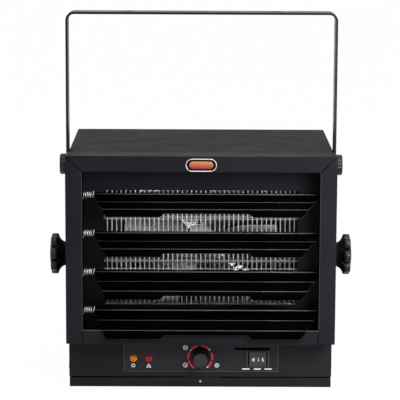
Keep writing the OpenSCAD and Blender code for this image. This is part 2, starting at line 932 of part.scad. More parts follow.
module switch_rocker() {
    tip_y = bezel_y - rocker_proud - rocker_y;
    color("#3a3b3e") translate([switch_x, rocker_y, switch_z]) {
        linear_extrude(rocker_h, center = true) intersection() {
            circle(r = rocker_r);
            polygon([
                [-rocker_r, rocker_back], [-rocker_r, tip_y], [0, tip_y + rocker_valley],
                [rocker_r, tip_y], [rocker_r, rocker_back]
            ]);
        }
        cylinder(r = trunnion_r, h = rocker_h + 2 * trunnion_l, center = true);
    }
}

// A domed lens on a stem through the panel
module lamp(x) {
    ball_r = (pow(lamp_d / 2, 2) + pow(lamp_rise, 2)) / (2 * lamp_rise);
    translate([x, plate_y, lamp_z]) {
        intersection() {
            translate([0, ball_r - lamp_rise, 0]) sphere(r = ball_r);
            slab(-lamp_d, lamp_d, -lamp_d, 0, -lamp_d, lamp_d);
        }
        ycyl(lamp_stem_r, 0, lamp_stem_l);
    }
}

module lamp_amber() {
    color("#e07818") lamp(amber_x);
}

module lamp_red() {
    color("#a01822") lamp(red_x);
}

module lamp_bodies() {
    color("#2e3033") for (x = [amber_x, red_x])
        translate([x, 0, lamp_z]) difference() {
            ycyl(lamp_body_r, panel_back_y, panel_back_y + lamp_body_l);
            ycyl(lamp_stem_r + run_fit, panel_back_y - over, plate_y + lamp_stem_l + run_fit);
        }
}

module terminal_block() {
    pole_pitch = terminal_l / terminal_poles;
    color("#d9d4c4") translate([gland_x, terminal_y, sheet]) {
        slab(-terminal_l / 2, terminal_l / 2, -terminal_w / 2, terminal_w / 2, 0, terminal_h);
        for (i = [0 : terminal_poles - 1])
            translate([(i + 0.5) * pole_pitch - terminal_l / 2, 0, terminal_h])
                cylinder(r = pole_r, h = pole_h);
    }
}

module contactor() {
    color("#3b3e42") translate([contactor_x, contactor_y, sheet]) {
        slab(-contactor_w / 2, contactor_w / 2, -contactor_d / 2, contactor_d / 2, 0, contactor_h);
        slab(-contactor_w / 2, contactor_w / 2, -contactor_d / 2 - contactor_foot,
            contactor_d / 2 + contactor_foot, 0, contactor_foot_h);
        for (x = [-1, 0, 1], y = [-1, 1])
            translate([x * contactor_w / 3, y * contactor_d / 3, contactor_h])
                cylinder(r = pole_r, h = pole_h);
    }
}

module thermal_cutout() {
    color("#c8c9cb") translate([cutout_x, cutout_y, divider_top]) {
        slab(-cutout_foot_w / 2, cutout_foot_w / 2, -cutout_r / 2, cutout_r / 2, 0, cutout_foot_t);
        cylinder(r = cutout_r, h = cutout_h);
    }
}

module cable_gland() {
    color("#7d8084") translate([gland_x, 0, gland_z]) difference() {
        union() {
            ycyl(gland_r, rear_y - gland_inside, rear_y);
            translate([0, rear_y + gland_hex_l, 0]) rotate([90, 0, 0])
                cylinder(r = gland_hex_r, h = gland_hex_l, $fn = 6);
            ycyl(gland_clamp_r, rear_y + gland_hex_l, rear_y + gland_hex_l + gland_clamp_l);
        }
        ycyl(gland_bore_d / 2, rear_y - gland_inside - over, rear_y + gland_hex_l + gland_clamp_l + over);
    }
}

module gland_locknut() {
    color("#8c8f93") translate([gland_x, 0, gland_z]) difference() {
        ycyl(locknut_r, rear_inner_y - locknut_t, rear_inner_y);
        ycyl(gland_r + run_fit, rear_inner_y - locknut_t - over, rear_inner_y + over);
    }
}

module pivot_bushes() {
    color("#9a9ea3") both_sides() translate([0, pivot_y, pivot_z]) difference() {
        union() {
            xcyl(bush_nut_r, inner_x - bush_nut_l, inner_x);
            xcyl(boss_r, inner_x, leg_out + boss_proud);
        }
        xcyl(clamp_stud_r + run_fit, inner_x - bush_nut_l - over, leg_out + boss_proud + over);
    }
}

// A stadium outline
module stadium(w, h) {
    square([w - h, h], center = true);
    for (s = [-1, 1])
        translate([s * (w - h) / 2, 0]) circle(r = h / 2);
}

module badge_plate() {
    color("#c4c6c9") translate([0, 0, body_h - badge_drop]) difference() {
        along_y(face_y - badge_t, face_y) stadium(badge_w, badge_h);
        along_y(face_y - badge_t - over, face_y - badge_t + badge_sink)
            stadium(badge_w - 2 * badge_rim, badge_h - 2 * badge_rim);
    }
}

// Where a coiled spring's centre line runs, with its direction there
spring_steps = spring_turns * spring_rings;
spring_lead = (spring_l - 2 * spring_wire_d) / spring_turns;
function spring_angle(i) = 360 * i / spring_rings;
function outward(a) = [0, cos(a), sin(a)];
function spring_place(i) =
    [spring_x0 + spring_wire_d + spring_lead * i / spring_rings, 0, 0]
        + spring_r * outward(spring_angle(i));
function unit(v) = v / norm(v);
function spring_run(i) =
    let (a = spring_angle(i), turn = 2 * PI * spring_r)
        unit([spring_lead, -turn * sin(a), turn * cos(a)]);
along = [1, 0, 0];
spring_line = concat(
    [[spring_place(0) - spring_wire_d * along, along, 0]],
    [for (i = [0 : spring_steps])
        [spring_place(i), i == 0 || i == spring_steps ? unit(spring_run(i) + along) : spring_run(i),
            spring_angle(i)]],
    [[spring_place(spring_steps) + spring_wire_d * along, along, spring_angle(spring_steps)]]
);
function ring_points(p) = [
    for (j = [0 : spring_sides - 1])
        let (t = 360 * j / spring_sides, n = outward(p[2]))
            p[0] + spring_wire_d / 2 * (cos(t) * n + sin(t) * cross(p[1], n))
];
half_curl = spring_rings / 2;
spring_self_gap = min([
    for (i = [0 : len(spring_line) - 1], j = [i + half_curl : 1 : len(spring_line) - 1])
        norm(spring_line[i][0] - spring_line[j][0])
]) - spring_wire_d;
echo("least gap of a louver spring to itself", spring_self_gap);

module louver_spring(k) {
    last = len(spring_line) - 1;
    faces = concat(
        [for (j = [1 : spring_sides - 2]) [0, j, j + 1]],
        [for (i = [0 : last - 1], j = [0 : spring_sides - 1])
            let (a = i * spring_sides, b = a + spring_sides, n = (j + 1) % spring_sides)
                each [[a + j, b + j, b + n], [a + j, b + n, a + n]]],
        [for (j = [1 : spring_sides - 2])
            let (a = last * spring_sides) [a, a + j + 1, a + j]]
    );
    color("#c9cdd2") translate([0, louver_y, louver_z(k)])
        polyhedron(points = [for (p = spring_line) each ring_points(p)], faces = faces);
}

// Corners of a bent strip of thickness t along the line p
function side_of(a, b) = unit([a[1] - b[1], b[0] - a[0]]);
function shifted(p, i, t) =
    let (
        last = len(p) - 1,
        before = side_of(p[max(i - 1, 0)], p[max(i, 1)]),
        after = side_of(p[min(i, last - 1)], p[min(i + 1, last)]),
        middle = unit(before + after)
    ) p[i] + middle * t / (middle * before);
function strip(p, t) = concat(
    [for (i = [0 : len(p) - 1]) shifted(p, i, t / 2)],
    [for (i = [len(p) - 1 : -1 : 0]) shifted(p, i, -t / 2)]
);

// A louver's section in Y and Z, hanging straight down from its rod
louver_line = [
    [0, 0],
    [0, -facet_a],
    [-facet_b * sin(bend_b), -facet_a - facet_b * cos(bend_b)],
    [-facet_b * sin(bend_b) - lip_tab * sin(bend_c),
        -facet_a - facet_b * cos(bend_b) - lip_tab * cos(bend_c)]
];
louver_mid_z = louver_line[2][1] - lip_mid * cos(bend_c);

// A louver's outline seen from in front, with its tapered ends and the notch in its lip
function left_edge(i) = [louver_left + left_inset_shares[i] * taper_left, louver_line[i][1]];
function right_edge(i) = [louver_right - right_inset_shares[i] * taper_right, louver_line[i][1]];
notch_x0 = left_edge(3)[0] + tab_left_w;
notch_x1 = right_edge(3)[0] - tab_right_w;
louver_outline = [
    [louver_left, hem_r + over], left_edge(0), left_edge(1), left_edge(2),
    left_edge(3) - [0, over], [notch_x0, left_edge(3)[1] - over], [notch_x0, left_edge(3)[1]],
    [notch_x0 + notch_slope, louver_mid_z], [notch_x1 - notch_slope, louver_mid_z],
    [notch_x1, right_edge(3)[1]], [notch_x1, right_edge(3)[1] - over], right_edge(3) - [0, over],
    right_edge(2), right_edge(1), right_edge(0), [louver_right, hem_r + over]
];

module louver(k) {
    reach = facet_a + facet_b + lip_tab;
    color("#0c0c0d") translate([0, louver_y, louver_z(k)]) rotate([-louver_tilts[k], 0, 0])
        difference() {
            union() {
                intersection() {
                    along_x(louver_left, louver_right) polygon(strip(louver_line, louver_sheet));
                    along_y(-reach, reach) polygon(louver_outline);
                }
                xcyl(hem_r, louver_left, louver_right);
                xcyl(ear_r, louver_left - louver_sheet, louver_left);
                xcyl(ear_r, louver_right - louver_sheet, louver_right);
            }
            xcyl(rod_r + run_fit, louver_left - louver_sheet - over, louver_right + over);
        }
}

module louver_rod(k) {
    end_x = rail_x + sheet + rod_end;
    color("#9a9ea3") translate([0, louver_y, louver_z(k)]) xcyl(rod_r, -end_x, end_x);
}

module base_screw() {
    color("#c9cdd2") translate([0, front_y, base_screw_z]) rotate([90, 0, 0]) screw();
}

module cabinet_screws() {
    color("#2a2b2e") both_sides() for (p = cabinet_screw_places)
        translate([p[2], p[0], p[1]]) rotate([0, 90, 0]) screw();
}

module rear_screws() {
    color("#2a2b2e") both_sides() for (z = rear_screw_heights)
        translate([rear_screw_x, rear_y, z]) rotate([-90, 0, 0]) screw();
}

module mounting_bracket() {
    bend_x = leg_out - bar_bend_r;
    bend_z = bracket_top - bar_bend_r;
    color("#232427") difference() {
        translate([0, pivot_y, 0]) {
            both_sides() {
                slab(leg_in, leg_out, -bar_w / 2, bar_w / 2, pivot_z, bend_z);
                translate([0, 0, pivot_z]) xcyl(bar_w / 2, leg_in, leg_out);
                translate([bend_x, 0, bend_z]) rotate([90, 0, 0]) rotate_extrude(angle = 90)
                    translate([bar_bend_r - bar_t, -bar_w / 2]) square([bar_t, bar_w]);
            }
            slab(-bend_x, bend_x, -bar_w / 2, bar_w / 2, bracket_top - bar_t, bracket_top);
        }
        translate([0, pivot_y, pivot_z]) both_sides() {
            xcyl(boss_r + run_fit, leg_in - over, leg_out + over);
            translate([0, 0, lock_reach]) xcyl(lock_stud_r + run_fit, leg_in - over, leg_out + over);
        }
        both_sides() translate([slot_spacing / 2, pivot_y, bracket_top - bar_t - over])
            linear_extrude(bar_t + 2 * over) stadium(bar_slot_l, bar_slot_w);
    }
}

module lock_nuts() {
    x1 = inner_x - free_gap;
    color("#9a9ea3") both_sides() translate([0, pivot_y, pivot_z + lock_reach]) difference() {
        xcyl(lock_nut_r, x1 - lock_nut_t, x1);
        xcyl(lock_stud_r + run_fit, x1 - lock_nut_t - over, x1 + over);
    }
}

// A disc along Z with chamfered edges
module chamfered_disc(r, h, edge) {
    rotate_extrude() polygon([
        [0, 0], [r - edge, 0], [r, edge], [r, h - edge], [r - edge, h], [0, h]
    ]);
}

module clamp_knob() {
    x1 = knob_in + clamp_l - clamp_boss_l;
    x0 = x1 - clamp_rim;
    color("#121214") translate([0, pivot_y, pivot_z]) {
        translate([x0, 0, 0]) rotate([0, 90, 0]) intersection() {
            linear_extrude(clamp_rim) {
                circle(r = clamp_core_r);
                for (i = [0 : clamp_lobes - 1])
                    rotate([0, 0, -90 + i * 360 / clamp_lobes])
                        translate([clamp_r - lobe_r, 0]) circle(r = lobe_r);
            }
            chamfered_disc(clamp_r, clamp_rim, knob_edge);
        }
        xcyl(clamp_boss_r, x1, x1 + clamp_boss_l);
        xcone(clamp_hub_r, clamp_neck_r, knob_in, x0);
        xcyl(clamp_stud_r, inner_x - bush_nut_l, knob_in);
    }
}

module lock_knob() {
    color("#121214") translate([0, pivot_y, pivot_z + lock_reach]) {
        translate([knob_in, 0, 0]) rotate([0, 90, 0]) difference() {
            chamfered_disc(lock_knob_r, lock_knob_l, knob_edge);
            for (i = [0 : lock_flutes - 1])
                rotate([0, 0, i * 360 / lock_flutes]) translate([lock_knob_r + flute_r / 2, 0, -over])
                    cylinder(r = flute_r, h = lock_knob_l + 2 * over);
        }
        xcyl(lock_stud_r, inner_x - free_gap - lock_nut_t - over, knob_in);
    }
}

cabinet_shell();
base_plate();
rear_panel();
front_frame();
mirror([1, 0, 0]) louver_rail();  // louver_rail_left
louver_rail();  // louver_rail_right
outlet_panel();
front_guard();
mirror([1, 0, 0]) duct_side();  // duct_side_left
duct_side();  // duct_side_right
for (i = [0 : 2])
    heating_element(i);
fan_shroud();
fan_motor();
motor_mount();
motor_bearings();
motor_screws();
compartment_divider();
control_panel();
panel_plate();
thermostat_body();
switch_body();
lamp_amber();
lamp_red();
lamp_bodies();
terminal_block();
contactor();
thermal_cutout();
cable_gland();
gland_locknut();
pivot_bushes();
badge_plate();
for (k = [0 : 3])
    louver_spring(k);
base_screw();
cabinet_screws();
rear_screws();
mounting_bracket();
lock_nuts();
mirror([1, 0, 0]) clamp_knob();  // clamp_knob_left
clamp_knob();  // clamp_knob_right
mirror([1, 0, 0]) lock_knob();  // lock_knob_left
lock_knob();  // lock_knob_right
thermostat_knob();
thermostat_spindle();
switch_rocker();
fan_rotor();
motor_shaft();
for (k = [0 : 3])
    louver(k);
for (k = [0 : 3])
    louver_rod(k);
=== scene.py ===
# An electric garage heater on a tilting U bracket, dressed for the studio.
import json
import math

import bmesh
import bpy
from mathutils import Matrix, Vector

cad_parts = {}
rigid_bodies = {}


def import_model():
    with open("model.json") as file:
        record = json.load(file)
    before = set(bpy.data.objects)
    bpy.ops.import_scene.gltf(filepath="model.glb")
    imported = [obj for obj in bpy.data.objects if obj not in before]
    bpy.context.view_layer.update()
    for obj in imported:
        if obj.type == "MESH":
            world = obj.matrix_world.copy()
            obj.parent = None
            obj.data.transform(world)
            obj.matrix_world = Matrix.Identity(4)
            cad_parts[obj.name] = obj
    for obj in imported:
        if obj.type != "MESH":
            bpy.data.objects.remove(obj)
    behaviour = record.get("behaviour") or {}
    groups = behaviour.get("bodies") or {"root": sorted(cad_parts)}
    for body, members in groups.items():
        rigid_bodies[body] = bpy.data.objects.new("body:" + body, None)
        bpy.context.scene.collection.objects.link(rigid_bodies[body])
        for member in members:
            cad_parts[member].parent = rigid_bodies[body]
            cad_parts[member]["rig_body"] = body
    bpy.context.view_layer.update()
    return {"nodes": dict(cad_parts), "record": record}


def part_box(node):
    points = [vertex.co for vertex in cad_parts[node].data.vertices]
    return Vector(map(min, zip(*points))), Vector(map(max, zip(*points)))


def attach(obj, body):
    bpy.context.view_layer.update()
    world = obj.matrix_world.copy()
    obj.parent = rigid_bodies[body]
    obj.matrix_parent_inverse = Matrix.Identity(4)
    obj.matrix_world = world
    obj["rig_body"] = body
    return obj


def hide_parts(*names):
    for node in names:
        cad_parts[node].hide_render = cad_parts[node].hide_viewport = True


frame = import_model()

MM = 0.001
NODES = frame["nodes"]

# Y of the cabinet's front, and of the front of the plate on it
CABINET_FRONT = -120 * MM
PLATE_FACE = -120.8 * MM


# Camera, at the place from which the photograph was taken

FOCAL_PIXELS, PICTURE_PIXELS, SENSOR = 2006.8, 400, 36.0
CAMERA_PLACE = Vector((-8.45, -2812.2, 728.9)) * MM
# Degrees that it looks down, that it looks to the right, and that it is rolled
CAMERA_TURNS = (9.833, 0.15, 0.254)


def aim_camera():
    pitch, yaw, roll = (math.radians(a) for a in CAMERA_TURNS)
    forward = Vector((
        math.sin(yaw) * math.cos(pitch),
        math.cos(yaw) * math.cos(pitch),
        -math.sin(pitch),
    ))
    right = Vector((math.cos(yaw), -math.sin(yaw), 0))
    up = right.cross(forward)
    right, up = (
        right * math.cos(roll) + up * math.sin(roll),
        up * math.cos(roll) - right * math.sin(roll),
    )
    data = bpy.data.cameras.new("camera")
    data.sensor_width = SENSOR
    data.lens = FOCAL_PIXELS / PICTURE_PIXELS * SENSOR
    data.clip_end = 100
    camera = bpy.data.objects.new("camera", data)
    facing = Matrix((right, up, -forward)).transposed().to_4x4()
    camera.matrix_world = Matrix.Translation(CAMERA_PLACE) @ facing
    bpy.context.scene.collection.objects.link(camera)
    bpy.context.scene.camera = camera


# Meshes

def new_piece(name, mesh, material, smooth=True):
    piece = bpy.data.objects.new(name, mesh)
    bpy.context.scene.collection.objects.link(piece)
    mesh.materials.clear()
    mesh.materials.append(material)
    for face in mesh.polygons:
        face.use_smooth = smooth
    return piece


def mesh_of(name, points, faces):
    mesh = bpy.data.meshes.new(name)
    mesh.from_pydata([tuple(p) for p in points], [], faces)
    mesh.validate()
    return mesh


def sharpen(mesh, degrees):
    """Marks the edges that turn by more than an angle as sharp, for smooth shading elsewhere."""
    mesh.shade_smooth()
    mesh.set_sharp_from_angle(angle=math.radians(degrees))


def grid_faces(rows, columns, wrap=False):
    """Quads between neighbouring rows of points; wrap also joins each row's end to its start."""
    faces = []
    for i in range(rows - 1):
        for j in range(columns if wrap else columns - 1):
            a, b = i * columns, (i + 1) * columns
            n = (j + 1) % columns
            faces.append((a + j, a + n, b + n, b + j))
    return faces


def tube(name, points, radius, sides, material):
    """A round tube along a line of points, with closed ends."""
    points = [Vector(p) for p in points]
    runs = [(points[min(i + 1, len(points) - 1)] - points[max(i - 1, 0)]).normalized()
            for i in range(len(points))]
    across = runs[0].orthogonal().normalized()
    ring_points = []
    for point, run in zip(points, runs):
        across = (across - run * across.dot(run)).normalized()
        beside = run.cross(across)
        for j in range(sides):
            a = 2 * math.pi * j / sides
            ring_points.append(point + radius * (math.cos(a) * across + math.sin(a) * beside))
    faces = grid_faces(len(points), sides, wrap=True)
    faces.append(tuple(reversed(range(sides))))
    faces.append(tuple(range((len(points) - 1) * sides, len(points) * sides)))
    piece = new_piece(name, mesh_of(name, ring_points, faces), material)
    sharpen(piece.data, 60)
    return piece


def lofted(name, sections, material, sharp=40):
    """A closed form through outlines that have the same number of points."""
    count = len(sections[0])
    points = [point for section in sections for point in section]
    faces = grid_faces(len(sections), count, wrap=True)
    faces.append(tuple(reversed(range(count))))
    faces.append(tuple(range((len(sections) - 1) * count, len(sections) * count)))
    mesh = mesh_of(name, points, faces)
    form = bmesh.new()
    form.from_mesh(mesh)
    bmesh.ops.recalc_face_normals(form, faces=form.faces)
    form.to_mesh(mesh)
    form.free()
    piece = new_piece(name, mesh, material)
    sharpen(mesh, sharp)
    return piece


def turned(name, profile, place, axis, material, sides=64, outline=None, sharp=40):
    """A form turned about an axis; a profile point is (along, radius, share of the outline)."""
    axis = Vector(axis).normalized()
    across = Vector((0, 0, 1)).cross(axis).normalized()
    beside = axis.cross(across)
    sections = []
    for along, radius, *share in profile:
        section = []
        for j in range(sides):
            a = 2 * math.pi * j / sides
            r = radius + (outline(a) * share[0] if share else 0)
            out = r * (math.cos(a) * across + math.sin(a) * beside)
            section.append(Vector(place) + axis * along + out)
        sections.append(section)
    return lofted(name, sections, material, sharp)


def rounded(corners, radius, steps=4):
    """An outline whose inner corners are turned into arcs of about the given radius."""
    out = [corners[0]]
    for before, corner, after in zip(corners, corners[1:], corners[2:]):
        b, c, a = Vector(before), Vector(corner), Vector(after)
        reach = min(radius, (b - c).length / 2, (a - c).length / 2)
        start, end = c + (b - c).normalized() * reach, c + (a - c).normalized() * reach
        for i in range(steps + 1):
            t = i / steps
            out.append(tuple(start * (1 - t) ** 2 + c * 2 * t * (1 - t) + end * t ** 2))
    out.append(corners[-1])
    return out


def body_of(node):
    return NODES[node]["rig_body"]


def stand_for(piece, *nodes):
    """The piece takes the place of CAD nodes, and rides where the first of them rides."""
    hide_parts(*nodes)
    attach(piece, body_of(nodes[0]))
    return piece


def softened(node, width, material, segments=2, least_edge=4 * MM, sharp=35, reshape=None):
    """A copy of a CAD node whose long sharp edges are rounded over, like folds or mouldings."""
    mesh = NODES[node].data.copy()
    form = bmesh.new()
    form.from_mesh(mesh)
    if reshape:
        for vertex in form.verts:
            reshape(vertex.co)
    bmesh.ops.remove_doubles(form, verts=form.verts, dist=0.002 * MM)
    flat = math.radians(0.4)
    bmesh.ops.dissolve_limit(form, angle_limit=flat, verts=form.verts, edges=form.edges)
    weights = form.edges.layers.float.new("bevel_weight_edge")
    for edge in form.edges:
        if len(edge.link_faces) == 2 and edge.calc_length() > least_edge:
            if edge.calc_face_angle(0) > math.radians(sharp):
                edge[weights] = 1
    form.to_mesh(mesh)
    form.free()
    piece = new_piece(node + "_form", mesh, material)
    bevel = piece.modifiers.new("rounded edges", "BEVEL")
    bevel.limit_method = "WEIGHT"
    bevel.width = width
    bevel.segments = segments
    bevel.use_clamp_overlap = False
    bevel.harden_normals = False
    sharpen(mesh, 30)
    return stand_for(piece, node)


# Materials

def new_material(name):
    material = bpy.data.materials.new(name)
    material.use_nodes = True
    tree = material.node_tree
    shader = tree.nodes["Principled BSDF"]
    return material, tree, shader


def noise(tree, scale, detail=3.0, roughness=0.55, stretch=(1, 1, 1)):
    """Noise over the object's own space, with scale in features per metre."""
    place = tree.nodes.new("ShaderNodeTexCoord")
    mapping = tree.nodes.new("ShaderNodeMapping")
    mapping.inputs["Scale"].default_value = stretch
    texture = tree.nodes.new("ShaderNodeTexNoise")
    texture.inputs["Scale"].default_value = scale
    texture.inputs["Detail"].default_value = detail
    texture.inputs["Roughness"].default_value = roughness
    tree.links.new(place.outputs["Object"], mapping.inputs["Vector"])
    tree.links.new(mapping.outputs["Vector"], texture.inputs["Vector"])
    return texture.outputs["Fac"]


def ramp(tree, value, stops):
    """A colour ramp; each stop is (position, grey level or colour)."""
    node = tree.nodes.new("ShaderNodeValToRGB")
    elements = node.color_ramp.elements
    while len(elements) < len(stops):
        elements.new(0.5)
    for element, (position, level) in zip(elements, stops):
        element.position = position
        colour = level if isinstance(level, tuple) else (level,) * 3
        element.color = (*colour, 1)
    tree.links.new(value, node.inputs["Fac"])
    return node.outputs["Color"]


def bump(tree, shader, heights):
    """Chains bumps onto a shader's normal; each height is (value, depth in metres, strength)."""
    normal = None
    for value, depth, strength in heights:
        node = tree.nodes.new("ShaderNodeBump")
        node.inputs["Distance"].default_value = depth
        node.inputs["Strength"].default_value = strength
        tree.links.new(value, node.inputs["Height"])
        if normal:
            tree.links.new(normal, node.inputs["Normal"])
        normal = node.outputs["Normal"]
    tree.links.new(normal, shader.inputs["Normal"])


def between(low, high, share):
    return tuple(a + (b - a) * share for a, b in zip(low, high))


def powder_coat(name, colour, rough, gloss=0.3, lift=0.25):
    """Baked paint: slightly uneven in tone and sheen, with a fine orange peel."""
    material, tree, shader = new_material(name)
    dark = between(colour, (0, 0, 0), lift)
    light = between(colour, (0.2, 0.2, 0.21), lift * 0.12)
    tone = ramp(tree, noise(tree, 9, 5), [(0.3, dark), (0.7, light)])
    tree.links.new(tone, shader.inputs["Base Color"])
    sheen = ramp(tree, noise(tree, 30, 4), [(0.3, rough - 0.05), (0.7, rough + 0.05)])
    tree.links.new(sheen, shader.inputs["Roughness"])
    shader.inputs["Specular IOR Level"].default_value = gloss
    peel, waves = noise(tree, 850, 2), noise(tree, 14, 2)
    bump(tree, shader, [(peel, 0.03 * MM, 0.4), (waves, 0.4 * MM, 0.05)])
    return material


def metal(name, colour, rough, grain=600, stretch=(1, 1, 1), depth=0.01):
    """Bare or plated metal with drawn or rolled marks that run across the stretched direction."""
    material, tree, shader = new_material(name)
    shader.inputs["Metallic"].default_value = 1
    dark = between(colour, (0.1, 0.1, 0.11), 0.12)
    marks = noise(tree, grain, 3, stretch=stretch)
    tree.links.new(ramp(tree, marks, [(0.3, dark), (0.7, colour)]), shader.inputs["Base Color"])
    sheen = ramp(tree, noise(tree, 45, 4), [(0.3, rough - 0.06), (0.7, rough + 0.08)])
    tree.links.new(sheen, shader.inputs["Roughness"])
    bump(tree, shader, [(marks, depth * MM, 0.5)])
    return material


def moulded(name, colour, rough, grain=1500, depth=0.02, gloss=0.4):
    """Moulded plastic with a fine spark-eroded grain."""
    material, tree, shader = new_material(name)
    tone = ramp(tree, noise(tree, 60, 3), [(0.3, between(colour, (0, 0, 0), 0.15)), (0.7, colour)])
    tree.links.new(tone, shader.inputs["Base Color"])
    sheen = ramp(tree, noise(tree, 200, 2), [(0.3, rough - 0.04), (0.7, rough + 0.06)])
    tree.links.new(sheen, shader.inputs["Roughness"])
    shader.inputs["Specular IOR Level"].default_value = gloss
    bump(tree, shader, [(noise(tree, grain, 2), depth * MM, 0.6)])
    return material


def object_ramp(tree, axis, low, high, stops):
    """A colour ramp along an axis of the object's own space, between two places in metres."""
    place = tree.nodes.new("ShaderNodeTexCoord")
    split = tree.nodes.new("ShaderNodeSeparateXYZ")
    scale = tree.nodes.new("ShaderNodeMapRange")
    scale.inputs["From Min"].default_value = low
    scale.inputs["From Max"].default_value = high
    tree.links.new(place.outputs["Object"], split.inputs["Vector"])
    tree.links.new(split.outputs[axis], scale.inputs["Value"])
    return ramp(tree, scale.outputs["Result"], stops)


def lens_plastic(name, deep, bright, tint):
    """Tinted clear plastic, deepest at the tip of its dome, with slight ripples from the mould."""
    material, tree, shader = new_material(name)
    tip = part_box("lamp_amber")[0].y
    stops = [(0.0, deep), (0.35, between(deep, bright, 0.4)), (1.0, bright)]
    tone = object_ramp(tree, "Y", tip, PLATE_FACE, stops)
    tree.links.new(tone, shader.inputs["Base Color"])
    shader.inputs["Roughness"].default_value = 0.06
    shader.inputs["Subsurface Weight"].default_value = 0.15
    shader.inputs["Subsurface Scale"].default_value = 1 * MM
    shader.inputs["Specular IOR Level"].default_value = 1.0
    shader.inputs["Specular Tint"].default_value = (*tint, 1)
    bump(tree, shader, [(noise(tree, 500, 1), 0.02 * MM, 0.2)])
    return material


def enamel(name, top, bottom, low, high, coat):
    """A printed field that runs from one colour to another by height, under clear resin."""
    material, tree, shader = new_material(name)
    tone = object_ramp(tree, "Z", low, high, [(0.0, bottom), (1.0, top)])
    tree.links.new(tone, shader.inputs["Base Color"])
    shader.inputs["Roughness"].default_value = 0.35
    shader.inputs["Specular IOR Level"].default_value = 0.08
    shader.inputs["Coat Weight"].default_value = coat
    shader.inputs["Coat Roughness"].default_value = 0.05
    bump(tree, shader, [(noise(tree, 900, 2), 0.01 * MM, 0.2)])
    return material


def ink(name, colour):
    """Screen printed ink, slightly uneven in its cover."""
    material, tree, shader = new_material(name)
    tone = ramp(tree, noise(tree, 700, 3), [(0.35, between(colour, (0, 0, 0), 0.2)), (0.6, colour)])
    tree.links.new(tone, shader.inputs["Base Color"])
    shader.inputs["Roughness"].default_value = 0.5
    bump(tree, shader, [(noise(tree, 1800, 2), 0.01 * MM, 0.4)])
    return material


PAINT = powder_coat("cabinet_paint", (0.015, 0.0143, 0.0155), 0.66, gloss=0.06, lift=0.08)
FRONT_PAINT = powder_coat("front_paint", (0.0215, 0.0198, 0.0222), 0.64, gloss=0.08, lift=0.12)
FRAME_PAINT = powder_coat("frame_paint", (0.0127, 0.0113, 0.0155), 0.6, gloss=0.08, lift=0.15)
# Painted highlight: the pale sill and jamb paints stand in for the light that the opening's rolled
# edges catch
SILL_HIGHLIGHT_PAINT = powder_coat("sill_painted_highlight", (0.14, 0.132, 0.152), 0.5, gloss=0.2)
JAMB_HIGHLIGHT_PAINT = powder_coat("jamb_painted_highlight", (0.05, 0.048, 0.053), 0.5, gloss=0.2)
PLATE_PAINT = powder_coat("plate_paint", (0.03, 0.0272, 0.0325), 0.6, gloss=0.12, lift=0.12)
LOUVER_PAINT = powder_coat("louver_paint", (0.0009, 0.0008, 0.0009), 0.5, gloss=0.003, lift=0.02)
# Painted highlight on the louvers' crease crests and cut sheet edges, paler than their black paint
LOUVER_EDGE_HIGHLIGHT = powder_coat("louver_edge", (0.06, 0.06, 0.064), 0.35, gloss=0.35)
# Painted highlight: a paler band along each louver's hem, on the rows that face forward
HEM_HIGHLIGHT_PAINT = powder_coat("louver_hem", (0.09, 0.09, 0.094), 0.35, gloss=0.4)
INNER_PAINT = powder_coat("inner_paint", (0.0135, 0.0128, 0.0172), 0.6, gloss=0.06, lift=0.15)
# Painted shade: the louver rails are near black, darker than the cabinet's paint, for the shade at
# the recess's sides
RAIL_SHADE_PAINT = powder_coat("rail_painted_shade", (0.0012, 0.0012, 0.0014), 0.6, gloss=0.05)
BAR_PAINT = powder_coat("bar_paint", (0.01, 0.0101, 0.0104), 0.36, gloss=0.16)
SCREW_BLACK = powder_coat("black_screw", (0.004, 0.004, 0.0045), 0.25, gloss=0.4)
# Worn bare metal in the screw's recess, bright enough to serve also as a painted glint
SCREW_RECESS_WEAR_AND_GLINT = metal("worn_recess_glint", (0.85, 0.85, 0.86), 0.3, grain=500)
# Painted shade: the zinc sheet inside the cabinet is given a colour far darker than zinc, for the
# dark interior behind the guard
ZINC_PAINTED_SHADE = metal("zinc_sheet", (0.06, 0.06, 0.064), 0.5, grain=70)
BRIGHT_WIRE = metal("bright_wire", (0.93, 0.93, 0.94), 0.34, grain=900)
SPRING_WIRE = metal("spring_wire", (0.95, 0.95, 0.96), 0.3, grain=900)
FINNED_TUBE = metal("finned_tube", (0.5, 0.5, 0.51), 0.36, grain=500)
STEEL = metal("plated_steel", (0.62, 0.63, 0.65), 0.32, grain=900)
CAST_ZINC = metal("cast_zinc", (0.5, 0.51, 0.52), 0.45, grain=400, depth=0.03)
MOTOR_PAINT = powder_coat("motor_paint", (0.006, 0.006, 0.007), 0.5, gloss=0.1)
BRONZE = metal("bearing_bronze", (0.5, 0.33, 0.16), 0.4, grain=700)
FAN_ALUMINIUM = metal("fan_aluminium", (0.9, 0.9, 0.91), 0.3, grain=90, stretch=(1, 1, 6))
BLACK_PLASTIC = moulded("black_plastic", (0.004, 0.004, 0.0043), 0.37, gloss=0.34)
BLACK_STEEL = metal("black_oxide", (0.02, 0.02, 0.021), 0.4, grain=900)
DARK_PLASTIC = moulded("dark_plastic", (0.03, 0.03, 0.033), 0.5)
ROCKER_PLASTIC = moulded("rocker_plastic", (0.045, 0.044, 0.046), 0.5, grain=900, depth=0.05)
BEZEL_PLASTIC = moulded("bezel_plastic", (0.05, 0.049, 0.052), 0.45, gloss=0.4)
CAP_PLASTIC = moulded("knob_cap", (0.04, 0.037, 0.041), 0.5, grain=800, depth=0.06, gloss=0.2)
CREAM_PLASTIC = moulded("cream_plastic", (0.6, 0.56, 0.45), 0.45)
AMBER = lens_plastic("amber_lens", (0.8, 0.15, 0.002), (1.0, 0.34, 0.01), (1, 0.65, 0.3))
RED = lens_plastic("red_lens", (0.22, 0.001, 0.005), (0.6, 0.03, 0.05), (1, 0.3, 0.34))
